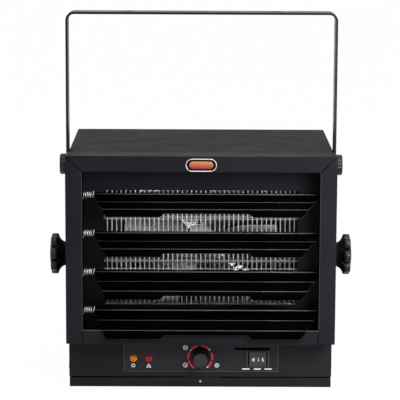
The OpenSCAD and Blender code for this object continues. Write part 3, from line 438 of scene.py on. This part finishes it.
CHROME = metal("chrome_rim", (0.66, 0.64, 0.66), 0.16, grain=300, depth=0.002)
WHITE_INK = ink("white_ink", (0.99, 0.99, 1.0))
# Painted highlight: a paler band printed along the panel plate's left, right and bottom edges
PLATE_EDGE_HIGHLIGHT = powder_coat("plate_edge_highlight", (0.075, 0.072, 0.076), 0.55, gloss=0.2)
RED_INK = ink("red_ink", (0.9, 0.012, 0.075))
BADGE_BLACK = enamel("badge_black", (0.004, 0.001, 0.001), (0.012, 0.001, 0.002), 0.309, 0.324, 0.0)
BADGE_PILL = enamel("badge_pill", (0.66, 0.24, 0.07), (0.25, 0.008, 0.03), 0.3115, 0.3213, 0.5)

FINISHES = {
    "black_sheet": PAINT, "black_bar": BAR_PAINT, "louver_black": LOUVER_PAINT,
    "panel_plate": PLATE_PAINT, "zinc_sheet": ZINC_PAINTED_SHADE, "bright_wire": BRIGHT_WIRE,
    "spring": SPRING_WIRE, "element": FINNED_TUBE, "steel": STEEL, "zinc_cast": CAST_ZINC,
    "black_screw": SCREW_BLACK, "motor": MOTOR_PAINT, "bronze": BRONZE,
    "fan_aluminium": FAN_ALUMINIUM, "black_plastic": BLACK_PLASTIC, "dark_plastic": DARK_PLASTIC,
    "rocker_plastic": ROCKER_PLASTIC, "cream_plastic": CREAM_PLASTIC, "amber_lens": AMBER,
    "red_lens": RED, "chrome": CHROME,
}


def finish_nodes():
    """Every CAD node takes the finish of its slot."""
    for part in frame["record"]["subparts"]:
        data = NODES[part["node"]].data
        data.materials.clear()
        data.materials.append(FINISHES[part["material_slot"]])


# Sheet metal

# Nodes of sheet metal, with the radius of their edges in millimetres and the steps in it
SHEETS = (
    ("cabinet_shell", 0.35, 2, PAINT),
    ("front_frame", 1.1, 3, FRAME_PAINT),
    ("outlet_panel", 0.3, 2, INNER_PAINT),
    ("control_panel", 0.3, 2, FRONT_PAINT),
    ("panel_plate", 0.35, 2, PLATE_PAINT),
    ("base_plate", 0.4, 2, FRONT_PAINT),
    ("rear_panel", 0.3, 2, PAINT),
    ("mounting_bracket", 0.7, 3, BAR_PAINT),
)


def dress_sheets():
    for node, edge, steps, paint in SHEETS:
        softened(node, edge * MM, paint, segments=steps)
    # The louver rails take the painted shade
    for side in ("left", "right"):
        NODES["louver_rail_" + side].data.materials[0] = RAIL_SHADE_PAINT
    for k in range(1, 5):
        NODES["louver_rod_%d" % k].data.materials[0] = BLACK_STEEL


# Widths of the frame beside, over and under its opening
FRAME_SIDE, FRAME_TOP, FRAME_BOTTOM = 22.5 * MM, 21.6 * MM, 19.6 * MM
# Radius of the opening's rolled edges, and how far their middles lie behind the surfaces
BEAD_R, BEAD_SUNK = 0.5 * MM, 0.45 * MM


def dress_opening():
    """The rolled edges of the frame's opening, painted paler as a painted highlight along them."""
    low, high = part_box("front_frame")
    x, top, bottom = high.x - FRAME_SIDE, high.z - FRAME_TOP, low.z + FRAME_BOTTOM
    y, under = low.y + BEAD_SUNK, bottom - BEAD_SUNK
    sill = tube("opening_sill", [(-x, y, under), (x, y, under)], BEAD_R, 12, SILL_HIGHLIGHT_PAINT)
    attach(sill, body_of("front_frame"))
    for name, side in (("opening_edge_left", -1), ("opening_edge_right", 1)):
        beside = side * (x + BEAD_SUNK)
        edge = tube(name, [(beside, y, bottom), (beside, y, top)], BEAD_R, 12, JAMB_HIGHLIGHT_PAINT)
        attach(edge, body_of("front_frame"))


# Louvers, with a rolled hem round the rod and a crease along each bend

# Degrees that the louvers are turned forward from hanging straight down, from the top one
LOUVER_TILTS = (60, 58, 46.5, 42.5)
LOUVER_SHEET = 0.9 * MM
# Depth of the upper and the lower facet, and of the lip at its tabs and between them
FACET_A, FACET_B, LIP_TAB, LIP_MID = 16.3 * MM, 16.6 * MM, 12 * MM, 6.4 * MM
# Directions of the lower facet and of the lip against the upper facet, in degrees
BEND_B, BEND_C = 4, -16
# The rolled hem: its radius, where it ends and how far it turns in degrees, and its steps
HEM_R, HEM_END, HEM_TURN, HEM_STEPS = 2.5 * MM, -60, 300, 20
# Degrees above level at which the hem's painted highlight line faces forward
HEM_GLINT_UP = 15
# A crease's height, half its width, and its profile as (share of the half, share of the height)
CREASE_RISE, CREASE_HALF = 0.55 * MM, 0.9 * MM
CREASE = ((-1.0, 0.0), (-0.7, 0.3), (-0.35, 0.85), (0.0, 1.0), (0.35, 0.85), (0.7, 0.3), (1.0, 0.0))
CREST_STEPS = (2, 3)
# How far the ends are cut back at the lip, and the share of it at the hem, the bends and the lip
TAPER_LEFT, TAPER_RIGHT = 15 * MM, 25 * MM
LEFT_SHARES, RIGHT_SHARES = (0, 0.1, 0.6, 1), (0, 0.25, 0.65, 1)
# Widths of the lip's tabs, and of the slope from a tab to the notch between them
TAB_LEFT, TAB_RIGHT, NOTCH_SLOPE = 72 * MM, 65 * MM, 5 * MM
# Radii of the ears' holes and rims, and the rounding of their edges
EAR_HOLE, EAR_R, EAR_EDGE = 2.1 * MM, 5.4 * MM, 0.25 * MM


def louver_section():
    """Corners of a louver that hangs straight below its axis, as (forward, up)."""
    corners = [Vector((0, 0)), Vector((0, -FACET_A))]
    for angle, reach in ((BEND_B, FACET_B), (BEND_C, LIP_TAB)):
        a = math.radians(angle)
        corners.append(corners[-1] + reach * Vector((math.sin(a), -math.cos(a))))
    return corners


def louver_mesh(name, left, right, tilt):
    """The sheet of a louver from its hem to its lip, between two X values."""
    corners = louver_section()
    rows = []
    for i in range(HEM_STEPS):
        a = math.radians(HEM_END + HEM_TURN * (1 - i / HEM_STEPS))
        rows.append((Vector((HEM_R * math.cos(a), HEM_R * math.sin(a))), 0.0))
    rows.append((corners[0] + Vector((0, -HEM_R * 1.25)), 0.0))
    for k in (1, 2):
        run_in = (corners[k] - corners[k - 1]).normalized()
        run_out = (corners[k + 1] - corners[k]).normalized()
        front = Vector((-run_in[1], run_in[0]))
        for along, rise in CREASE:
            run = run_in if along < 0 else run_out
            point = corners[k] + run * along * CREASE_HALF + front * rise * CREASE_RISE
            rows.append((point, k + along * 0.06))
    rows.append((corners[3], 3.0))

    def inset(shares, station):
        low = min(int(station), 2)
        return shares[low] + (shares[low + 1] - shares[low]) * (station - low)

    notch_left = left + LEFT_SHARES[3] * TAPER_LEFT + TAB_LEFT
    notch_right = right - RIGHT_SHARES[3] * TAPER_RIGHT - TAB_RIGHT
    middle_columns = (
        (notch_left, 1), (notch_left + NOTCH_SLOPE, 0),
        (notch_right - NOTCH_SLOPE, 0), (notch_right, 1),
    )
    columns = 2 + len(middle_columns)
    short = corners[2] + (corners[3] - corners[2]) * (LIP_MID / LIP_TAB)
    points = []
    for n, (point, station) in enumerate(rows):
        end_left = left + inset(LEFT_SHARES, station) * TAPER_LEFT
        end_right = right - inset(RIGHT_SHARES, station) * TAPER_RIGHT
        last = n == len(rows) - 1
        points.append(Vector((end_left, -point[0], point[1])))
        for x, full in middle_columns:
            p = short if last and not full else point
            points.append(Vector((x, -p[0], p[1])))
        points.append(Vector((end_right, -point[0], point[1])))
    mesh = mesh_of(name, points, grid_faces(len(rows), columns))
    first_crease = HEM_STEPS + 1
    crest = [first_crease + len(CREASE) * k + step for k in (0, 1) for step in CREST_STEPS]
    glint_turn = HEM_END + HEM_TURN + tilt - HEM_GLINT_UP
    glint = min(round(glint_turn * HEM_STEPS / HEM_TURN), HEM_STEPS - 2)
    # Crease crests take the painted highlight paint (index 1)
    for n, face in enumerate(mesh.polygons):
        row = n // (columns - 1)
        # The two hem rows that face forward take the painted hem highlight (index 2)
        face.material_index = 1 if row in crest else 2 if row in (glint - 1, glint) else 0
    return mesh


def dress_louvers():
    for k, tilt in enumerate(LOUVER_TILTS, 1):
        node, rod = "louver_%d" % k, "louver_rod_%d" % k
        low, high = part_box(rod)
        axis = (low + high) / 2
        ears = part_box(node)
        mesh = louver_mesh(node + "_sheet", ears[0].x + LOUVER_SHEET, ears[1].x, tilt)
        turn = Matrix.Rotation(math.radians(-tilt), 4, "X")
        mesh.transform(Matrix.Translation((0, axis.y, axis.z)) @ turn)
        finishes = [face.material_index for face in mesh.polygons]
        piece = new_piece(node + "_sheet", mesh, LOUVER_PAINT)
        mesh.materials.append(LOUVER_EDGE_HIGHLIGHT)
        mesh.materials.append(HEM_HIGHLIGHT_PAINT)
        for face, finish in zip(mesh.polygons, finishes):
            face.material_index = finish
        thick = piece.modifiers.new("sheet", "SOLIDIFY")
        thick.thickness = LOUVER_SHEET * 0.8
        thick.offset = 0
        # The sheet's cut edges take the next paint along, a painted highlight
        thick.material_offset_rim = 1
        sharpen(mesh, 50)
        stand_for(piece, node)
        ear_profile = rounded([
            (0, EAR_HOLE), (0, EAR_R), (LOUVER_SHEET, EAR_R), (LOUVER_SHEET, EAR_HOLE),
        ], EAR_EDGE)
        for side, x, way in (("left", ears[0].x, 1), ("right", ears[1].x, -1)):
            ear = turned("%s_ear_%s" % (node, side), ear_profile, (x, axis.y, axis.z), (way, 0, 0),
                         LOUVER_PAINT, sides=40)
            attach(ear, body_of(node))


# Springs, each a torsion coil round its rod with a tail at the rail

COIL_TURNS, COIL_STEPS = 5.25, 24
WIRE_R, COIL_R = 0.55 * MM, 4.7 * MM
COIL_LEG, COIL_TAIL = 2.8 * MM, 7 * MM
# The leg at the louver's end: the share of its length, then Y and Z in radii of the coil
LEG_LINE = ((0.2, -0.62, -0.78), (0.5, -0.98, -0.2), (0.75, -1.0, 0.4), (1.0, -0.9, 1.2))


def dress_springs():
    for k in range(1, 5):
        node = "louver_spring_%d" % k
        low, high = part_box(node)
        middle = (low + high) / 2
        start, run = low.x + 2 * WIRE_R, high.x - low.x - 4 * WIRE_R - COIL_LEG
        count = int(COIL_TURNS * COIL_STEPS)
        coil = []
        for i in range(count + 1):
            a = -2 * math.pi * i / COIL_STEPS
            coil.append(Vector((
                start + run * i / count,
                middle.y + COIL_R * math.cos(a),
                middle.z + COIL_R * math.sin(a),
            )))
        tail = [coil[0] + Vector((-WIRE_R * 0.8 * t, 0, -COIL_TAIL * t)) for t in (1.0, 0.6, 0.25)]
        leg = [
            Vector((start + run + COIL_LEG * along, middle.y + COIL_R * y, middle.z + COIL_R * z))
            for along, y, z in LEG_LINE
        ]
        stand_for(tube(node + "_coil", tail + coil + leg, WIRE_R, 10, SPRING_WIRE), node)


# Knobs

# X of the knobs' seats on the bracket, and the Y and Z of their axes
KNOB_SEAT, KNOB_Y, CLAMP_Z, LOCK_Z = 185.3 * MM, -79 * MM, 179.3 * MM, 305.1 * MM
# Degrees that the two clamp knobs have been turned
CLAMP_TURNS = {"left": 11, "right": 20.7}
# Profiles outwards from the seat, in millimetres: along, radius, share of the outline
CLAMP_PROFILE = (
    (0, 15.0, 0), (0.6, 15.8, 0), (2.4, 16.4, 0), (4.4, 17.2, 0), (6.0, 18.0, 0), (7.3, 19.0, 0),
    (8.6, 20.4, 0), (9.7, 22.0, 0.2), (10.7, 23.9, 0.43), (11.4, 25.6, 0.64), (12.0, 27.6, 1),
    (13.2, 28.5, 1), (19.6, 28.5, 1), (21.0, 27.7, 1), (21.6, 25.6, 1), (21.8, 23.4, 1),
    (21.5, 17.2, 0), (21.5, 15.4, 0), (22.0, 14.6, 0), (22.6, 14.2, 0), (22.9, 13.2, 0),
    (22.9, 6.0, 0), (22.5, 5.4, 0), (22.5, 0.5, 0),
)
LOCK_PROFILE = (
    (0, 13.4, 0), (0.8, 14.1, 1), (1.4, 14.2, 1), (7.6, 14.2, 1), (8.5, 13.6, 1), (8.9, 12.4, 0),
    (8.9, 9.6, 0), (8.4, 9.0, 0), (8.4, 0.5, 0),
)


def lobed(count, lobe, outer, core):
    """How far a lobed outline lies off its outer circle, by angle."""
    centre = outer - lobe

    def depth(a):
        turn = 2 * math.pi / count
        off = (a + turn / 2) % turn - turn / 2
        reach = lobe ** 2 - (centre * math.sin(off)) ** 2
        tip = centre * math.cos(off) + math.sqrt(reach) if reach > 0 else 0
        power = 18
        return (tip ** power + core ** power) ** (1 / power) - outer

    return depth


def fluted(count, depth):
    """Even scallops cut into a round outline, by angle."""
    return lambda a: -depth * (0.5 + 0.5 * math.cos(count * a)) ** 2


def dress_knob(kind, side, axis_z, stud_r, chamfer, profile, sides, outline):
    """A grip on the bracket, with the stud that runs inwards from it."""
    node = "%s_knob_%s" % (kind, side)
    way = -1 if side == "left" else 1
    low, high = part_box(node)
    stud = (KNOB_SEAT - min(abs(low.x), abs(high.x))) / MM
    shank = ((-stud, stud_r - chamfer, 0), (-stud + chamfer, stud_r, 0), (-0.01, stud_r, 0))
    points = [(along * MM, r * MM, share) for along, r, share in shank + profile]
    piece = turned("%s_grip_%s" % (kind, side), points, (KNOB_SEAT * way, KNOB_Y, axis_z),
                   (way, 0, 0), BLACK_PLASTIC, sides, outline, sharp=38)
    stand_for(piece, node)


def dress_knobs():
    lobes = lobed(7, 8.5 * MM, 28.5 * MM, 20.4 * MM)
    flutes = fluted(12, 0.8 * MM)
    for side in ("left", "right"):
        phase = math.radians(CLAMP_TURNS[side])
        dress_knob("clamp", side, CLAMP_Z, 4, 0.6, CLAMP_PROFILE, 140, lambda a: lobes(a - phase))
        dress_knob("lock", side, LOCK_Z, 3, 0.5, LOCK_PROFILE, 120, flutes)


def dress_thermostat():
    low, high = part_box("thermostat_knob")
    middle = (low + high) / 2
    length = high.y - low.y
    skirt, face, cap = (high.x - low.x) / 2, 10.0 * MM, 9.2 * MM
    shoulder, waist = 3 * MM, skirt - 1.4 * MM
    profile = [
        (0, skirt - 0.4 * MM, 0), (0.4 * MM, skirt, 0), (2.2 * MM, skirt, 0),
        (shoulder, skirt - 0.9 * MM, 0),
    ]
    for share in (0.04, 0.2, 0.5, 0.8, 0.9, 0.96):
        along = shoulder + (length - shoulder) * share
        profile.append((along, waist + (face - waist) * share, 1))
    profile += [
        (length - 0.15 * MM, face - 0.5 * MM, 0), (length, face - 1.1 * MM, 0),
        (length - 0.3 * MM, 2 * MM, 0),
    ]
    base = (middle.x, high.y, middle.z)
    piece = turned("thermostat_grip", profile, base, (0, -1, 0), BLACK_PLASTIC, sides=240,
                   outline=fluted(30, 0.5 * MM))
    stand_for(piece, "thermostat_knob")
    cap_profile = [
        (length - 0.5 * MM, cap), (length - 0.1 * MM, cap), (length, cap - 0.3 * MM),
        (length, 0.2 * MM),
    ]
    inlay = turned("thermostat_cap", cap_profile, base, (0, -1, 0), CAP_PLASTIC, sides=72)
    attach(inlay, body_of("thermostat_knob"))


# Controls and their printed marks

def circle(x, z, radius, steps=40, start=0, turn=360):
    """Points of an arc in millimetres, in X and Z."""
    count = steps if turn == 360 else steps + 1
    angles = [math.radians(start + turn * i / steps) for i in range(count)]
    return [(x + radius * math.cos(a), z + radius * math.sin(a)) for a in angles]


def ring(x, z, outer, inner):
    return circle(x, z, outer), circle(x, z, inner)


def box_loop(x0, x1, z0, z1, lean=0):
    return [(x0, z0), (x1, z0), (x1 + lean, z1), (x0 + lean, z1)]


def stadium(x, z, width, height, steps):
    r, reach = height / 2, (width - height) / 2
    return circle(x + reach, z, r, steps, -90, 180) + circle(x - reach, z, r, steps, 90, 180)


def prints(name, shapes, material, front, node, thick=0.12):
    """Raised print in millimetres, with its front at Y = front(x).

    Each shape is an outline, or a ring as (outline, inner outline).
    """
    points, faces = [], []
    for shape in shapes:
        outer, inner = shape if isinstance(shape, tuple) else (shape, None)
        n, base = len(outer), len(points)
        for loop in (outer, inner) if inner else (outer,):
            for back in (0, thick):
                points += [Vector((x, front(x) + back, z)) * MM for x, z in loop]
        front_out, back_out, front_in, back_in = (base + n * i for i in range(4))
        for j in range(n):
            k = (j + 1) % n
            faces.append((front_out + j, back_out + j, back_out + k, front_out + k))
            if inner:
                faces.append((front_in + j, front_in + k, back_in + k, back_in + j))
                faces.append((front_out + j, front_out + k, front_in + k, front_in + j))
                faces.append((back_out + j, back_in + j, back_in + k, back_out + k))
        if not inner:
            faces.append(tuple(front_out + j for j in range(n)))
            faces.append(tuple(back_out + j for j in reversed(range(n))))
    piece = new_piece(name, mesh_of(name, points, faces), material, smooth=False)
    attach(piece, body_of(node))


def arc_band(x, z, inner, outer, start, end):
    turn = end - start
    return circle(x, z, outer, 14, start, turn) + circle(x, z, inner, 14, start, turn)[::-1]


def flat(y):
    """A front for prints that has the same Y everywhere."""
    return lambda x: y


# Red bands round the thermostat knob, and white pointers at three of their gaps, in degrees
HEAT_BANDS = ((-51, -20), (-12, 24), (44, 86), (103, 140), (152, 188), (196, 243))
HEAT_POINTERS, POINTER_HALF = (143, 41, -54), 3
# The painted highlight band's outer and inner edges from the plate's edge, and its end under the
# top, in millimetres
RIM_OUT, RIM_IN, RIM_DROP = 0.2, 1.4, 2


def dress_plate_marks():
    low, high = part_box("thermostat_knob")
    kx, kz = (low.x + high.x) / 2 / MM, (low.z + high.z) / 2 / MM
    lamp_marks = [
        ring(-92.4, 30.3, 2.8, 1.5),
        (
            [(-74.7, 27.4), (-67.7, 27.4), (-71.2, 33.6)],
            [(-72.8, 28.5), (-69.6, 28.5), (-71.2, 31.3)],
        ),
    ]
    dial_marks = [
        ring(kx - 20.6, kz + 13.9, 3.3, 2.4),
        box_loop(kx - 22.6, kx - 18.6, kz + 13.3, kz + 14.5),
        ring(kx - 20.7, kz - 10.7, 3.3, 2.4),
        circle(kx - 19.9, kz - 11.6, 1.3, 16),
        circle(kx - 22.0, kz - 9.6, 0.7, 12),
        ring(kx + 22.9, kz - 11, 3.1, 2.1),
        box_loop(kx + 21.9, kx + 23.9, kz - 12, kz - 10),
    ]
    switch_marks = [
        box_loop(57.6, 68.0, 24.9, 26.7, 0.5),
        box_loop(73.8, 83.4, 24.9, 26.7, 0.5),
        box_loop(88.3, 98.4, 24.9, 26.7, 0.6),
    ]
    pointers = [
        arc_band(kx, kz, 15.8, 17.7, a - POINTER_HALF, a + POINTER_HALF) for a in HEAT_POINTERS
    ]
    low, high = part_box("panel_plate")
    x0, x1, z0, z1 = (v / MM for v in (low.x, high.x, low.z, high.z))
    # The rim is a painted highlight along the plate's edges
    rim = [
        box_loop(x0 + RIM_OUT, x0 + RIM_IN, z0 + RIM_OUT, z1 - RIM_DROP),
        box_loop(x1 - RIM_IN, x1 - RIM_OUT, z0 + RIM_IN, z1 - RIM_DROP),
        box_loop(x0 + RIM_IN, x1 - RIM_OUT, z0 + RIM_OUT, z0 + RIM_IN),
    ]
    prints("plate_rim_highlight", rim, PLATE_EDGE_HIGHLIGHT, flat(low.y / MM - 0.04), "panel_plate", thick=0.2)
    printed = flat(PLATE_FACE / MM - 0.08)
    white = lamp_marks + dial_marks + switch_marks + pointers
    prints("plate_marks", white, WHITE_INK, printed, "panel_plate")
    bands = [arc_band(kx, kz, 15.6, 17.9, start, end) for start, end in HEAT_BANDS]
    prints("heat_scale", bands, RED_INK, printed, "panel_plate")


# Y of the rocker's middle and how far its ends stand out from it, in millimetres
ROCKER_MIDDLE, ROCKER_DISH = -123.4, 0.9
# How far the walls of the bezel's well are moved away from the rocker's ends
WELL_ROOM = 1.3 * MM


def dress_switch():
    low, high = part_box("switch_rocker")
    middle, half = (low + high) / 2, (high.x - low.x) / 2
    x, z = middle.x / MM, middle.z / MM
    softened("switch_rocker", 0.5 * MM, ROCKER_PLASTIC, segments=3, least_edge=3 * MM)

    def widen(point):
        """Moves the walls of the bezel's well away from the rocker's ends."""
        off = point.x - middle.x
        if abs(abs(off) - half) < 0.6 * MM:
            point.x += math.copysign(WELL_ROOM, off)

    softened("switch_body", 0.3 * MM, BEZEL_PLASTIC, least_edge=2 * MM, reshape=widen)
    marks = [
        box_loop(x - 7.8, x - 6.5, z - 3, z + 2), box_loop(x - 5.6, x - 4.3, z - 3, z + 2),
        box_loop(x - 6.6, x - 5.5, z - 0.9, z + 0.2), box_loop(x + 0.5, x + 1.6, z - 3, z + 2),
        box_loop(x + 6.0, x + 7.6, z - 3, z + 2), box_loop(x + 7.6, x + 8.4, z - 3, z - 1.7),
        box_loop(x + 5.2, x + 6.0, z + 0.3, z + 1.4),
    ]

    def dished(at):
        return ROCKER_MIDDLE - ROCKER_DISH * abs(at - x) / (half / MM) - 0.06

    prints("rocker_marks", marks, WHITE_INK, dished, "switch_rocker")


def dress_lamps():
    stem, steps = 4 * MM, 12
    for node, material in (("lamp_amber", AMBER), ("lamp_red", RED)):
        low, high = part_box(node)
        place = ((low.x + high.x) / 2, PLATE_FACE, (low.z + high.z) / 2)
        r, rise, back = (high.x - low.x) / 2, PLATE_FACE - low.y, PLATE_FACE - high.y
        ball = (r * r + rise * rise) / (2 * rise)
        rim = math.asin(min(1, r / ball))
        profile = [(back, stem - 0.4 * MM), (back, stem), (-0.02 * MM, stem), (0, r - 0.1 * MM)]
        for i in range(steps + 1):
            a = rim * (1 - i / steps)
            profile.append((rise - ball * (1 - math.cos(a)), max(ball * math.sin(a), 0.05 * MM)))
        lens = turned(node + "_lens", profile, place, (0, -1, 0), material, sides=56, sharp=50)
        stand_for(lens, node)
        seat_profile = [
            (-0.05 * MM, r + 1.0 * MM), (0.25 * MM, r + 0.9 * MM), (0.45 * MM, r + 0.5 * MM),
            (0.45 * MM, r + 0.06 * MM), (-0.05 * MM, r + 0.02 * MM),
        ]
        seat = turned(node + "_seat", seat_profile, place, (0, -1, 0), BLACK_PLASTIC, sides=56)
        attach(seat, body_of(node))


def dress_screws():
    """A domed black head with a bright cross recess, on the screw in the base plate's lip; the
    recess's bright metal is worn paint and also a painted glint.
    """
    low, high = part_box("base_screw")
    place = ((low.x + high.x) / 2, CABINET_FRONT, (low.z + high.z) / 2)
    r, tall, shank, sides = (high.x - low.x) / 2, CABINET_FRONT - low.y, 1.9 * MM, 96

    def cross(a):
        off = (a + math.pi / 4) % (math.pi / 2) - math.pi / 4
        return -0.62 * (1 - math.exp(-(off / 0.2) ** 2))

    head = [
        (CABINET_FRONT - high.y, shank), (-0.02 * MM, shank), (0, r), (tall * 0.35, r * 0.99),
        (tall * 0.75, r * 0.86), (tall * 0.97, r * 0.6), (tall, r * 0.56, 0),
    ]
    recess = [
        (tall, 1.9 * MM, 1.9 * MM), (tall - 0.8 * MM, 1.7 * MM, 1.7 * MM),
        (tall - 0.85 * MM, 0.1 * MM, 0),
    ]
    piece = turned("base_screw_head", head + recess, place, (0, -1, 0), SCREW_BLACK, sides,
                   outline=cross, sharp=30)
    piece.data.materials.append(SCREW_RECESS_WEAR_AND_GLINT)
    first, end = len(head) * sides, (len(head) + len(recess) - 1) * sides
    for n, polygon in enumerate(piece.data.polygons):
        polygon.material_index = 1 if first <= n < end else 0
    piece.data.polygons[-1].material_index = 1
    stand_for(piece, "base_screw")


# Y of the floor of the badge's sunk field, and the sizes of the field and the pill in it, in mm
BADGE_FLOOR = -161.0
FIELD_SIZE, PILL_SIZE = (39.4, 15.0), (32.4, 10.2)


def dress_badge():
    softened("badge_plate", 0.3 * MM, CHROME, least_edge=0.5 * MM, sharp=50)
    low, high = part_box("badge_plate")
    height = (low.z + high.z) / 2 / MM

    def crowned(name, size, back, front, edge, material):
        sections = []
        for inset, y in (
            (0, back), (0, front + edge), (edge * 0.35, front + edge * 0.35), (edge * 1.2, front),
        ):
            loop = stadium(0, height, size[0] - 2 * inset, size[1] - 2 * inset, 20)
            sections.append([Vector((x, y, z)) * MM for x, z in loop])
        piece = lofted(name, sections, material, 60)
        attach(piece, body_of("badge_plate"))

    crowned("badge_field", FIELD_SIZE, BADGE_FLOOR + 0.05, BADGE_FLOOR - 0.1, 0.1, BADGE_BLACK)
    crowned("badge_pill", PILL_SIZE, BADGE_FLOOR - 0.05, BADGE_FLOOR - 0.42, 0.3, BADGE_PILL)


aim_camera()
finish_nodes()
dress_sheets()
dress_opening()
dress_louvers()
dress_springs()
dress_knobs()
dress_thermostat()
dress_plate_marks()
dress_switch()
dress_lamps()
dress_screws()
dress_badge()


# Stage

# How bright the floor looks directly, and the share of that in what is seen of it
FLOOR_GLOW, FLOOR_GLOW_SHARE = 1.03, 0.95
FLOOR_HALF = 40
# The background's strength as light, and as it is seen
WORLD_LIGHT, WORLD_SEEN = 0.2, 1.0


def seen_directly(tree):
    """One for camera, glossy and transmission rays, and nought for the rest."""
    path = tree.nodes.new("ShaderNodeLightPath")
    value = path.outputs["Is Camera Ray"]
    for kind in ("Is Glossy Ray", "Is Transmission Ray"):
        either = tree.nodes.new("ShaderNodeMath")
        either.operation = "MAXIMUM"
        tree.links.new(value, either.inputs[0])
        tree.links.new(path.outputs[kind], either.inputs[1])
        value = either.outputs["Value"]
    return value


def stage():
    half = FLOOR_HALF
    corners = [(-half, -half, 0), (half, -half, 0), (half, half, 0), (-half, half, 0)]
    material, tree, shader = new_material("floor")
    floor = new_piece("floor", mesh_of("floor", corners, [(0, 1, 2, 3)]), material)
    shader.inputs["Base Color"].default_value = (0.9, 0.9, 0.9, 1)
    shader.inputs["Roughness"].default_value = 0.9
    glow = tree.nodes.new("ShaderNodeEmission")
    mix = tree.nodes.new("ShaderNodeMixShader")
    share = tree.nodes.new("ShaderNodeMath")
    share.operation = "MULTIPLY"
    share.inputs[1].default_value = FLOOR_GLOW_SHARE
    glow.inputs["Strength"].default_value = FLOOR_GLOW
    tree.links.new(seen_directly(tree), share.inputs[0])
    tree.links.new(share.outputs["Value"], mix.inputs["Fac"])
    tree.links.new(shader.outputs["BSDF"], mix.inputs[1])
    tree.links.new(glow.outputs["Emission"], mix.inputs[2])
    tree.links.new(mix.outputs["Shader"], tree.nodes["Material Output"].inputs["Surface"])

    world = bpy.data.worlds.new("studio")
    bpy.context.scene.world = world
    world.use_nodes = True
    tree = world.node_tree
    background = tree.nodes["Background"]
    background.inputs["Color"].default_value = (1, 1, 1, 1)
    level = tree.nodes.new("ShaderNodeMapRange")
    level.inputs["To Min"].default_value = WORLD_LIGHT
    level.inputs["To Max"].default_value = WORLD_SEEN
    tree.links.new(seen_directly(tree), level.inputs["Value"])
    tree.links.new(level.outputs["Result"], background.inputs["Strength"])


def softbox(name, place, target, width, height, power):
    """A rectangular lamp that faces a target; lengths are metres and the power is watts."""
    data = bpy.data.lights.new(name, "AREA")
    data.shape = "RECTANGLE"
    data.size = width
    data.size_y = height
    data.energy = power
    light = bpy.data.objects.new(name, data)
    light.location = place
    light.rotation_euler = (Vector(target) - Vector(place)).to_track_quat("-Z", "Y").to_euler()
    bpy.context.scene.collection.objects.link(light)


bpy.context.scene.view_settings.view_transform = "Standard"
stage()
softbox("key", (0.42, -0.62, 0.46), (0.12, -0.12, 0.22), 0.3, 0.3, 3.6)
softbox("fill", (-1.9, -2.2, 1.5), (0, 0, 0.2), 1.0, 1.0, 5)
softbox("top", (0.3, -0.9, 2.4), (0, 0, 0.2), 1.4, 1.0, 24)
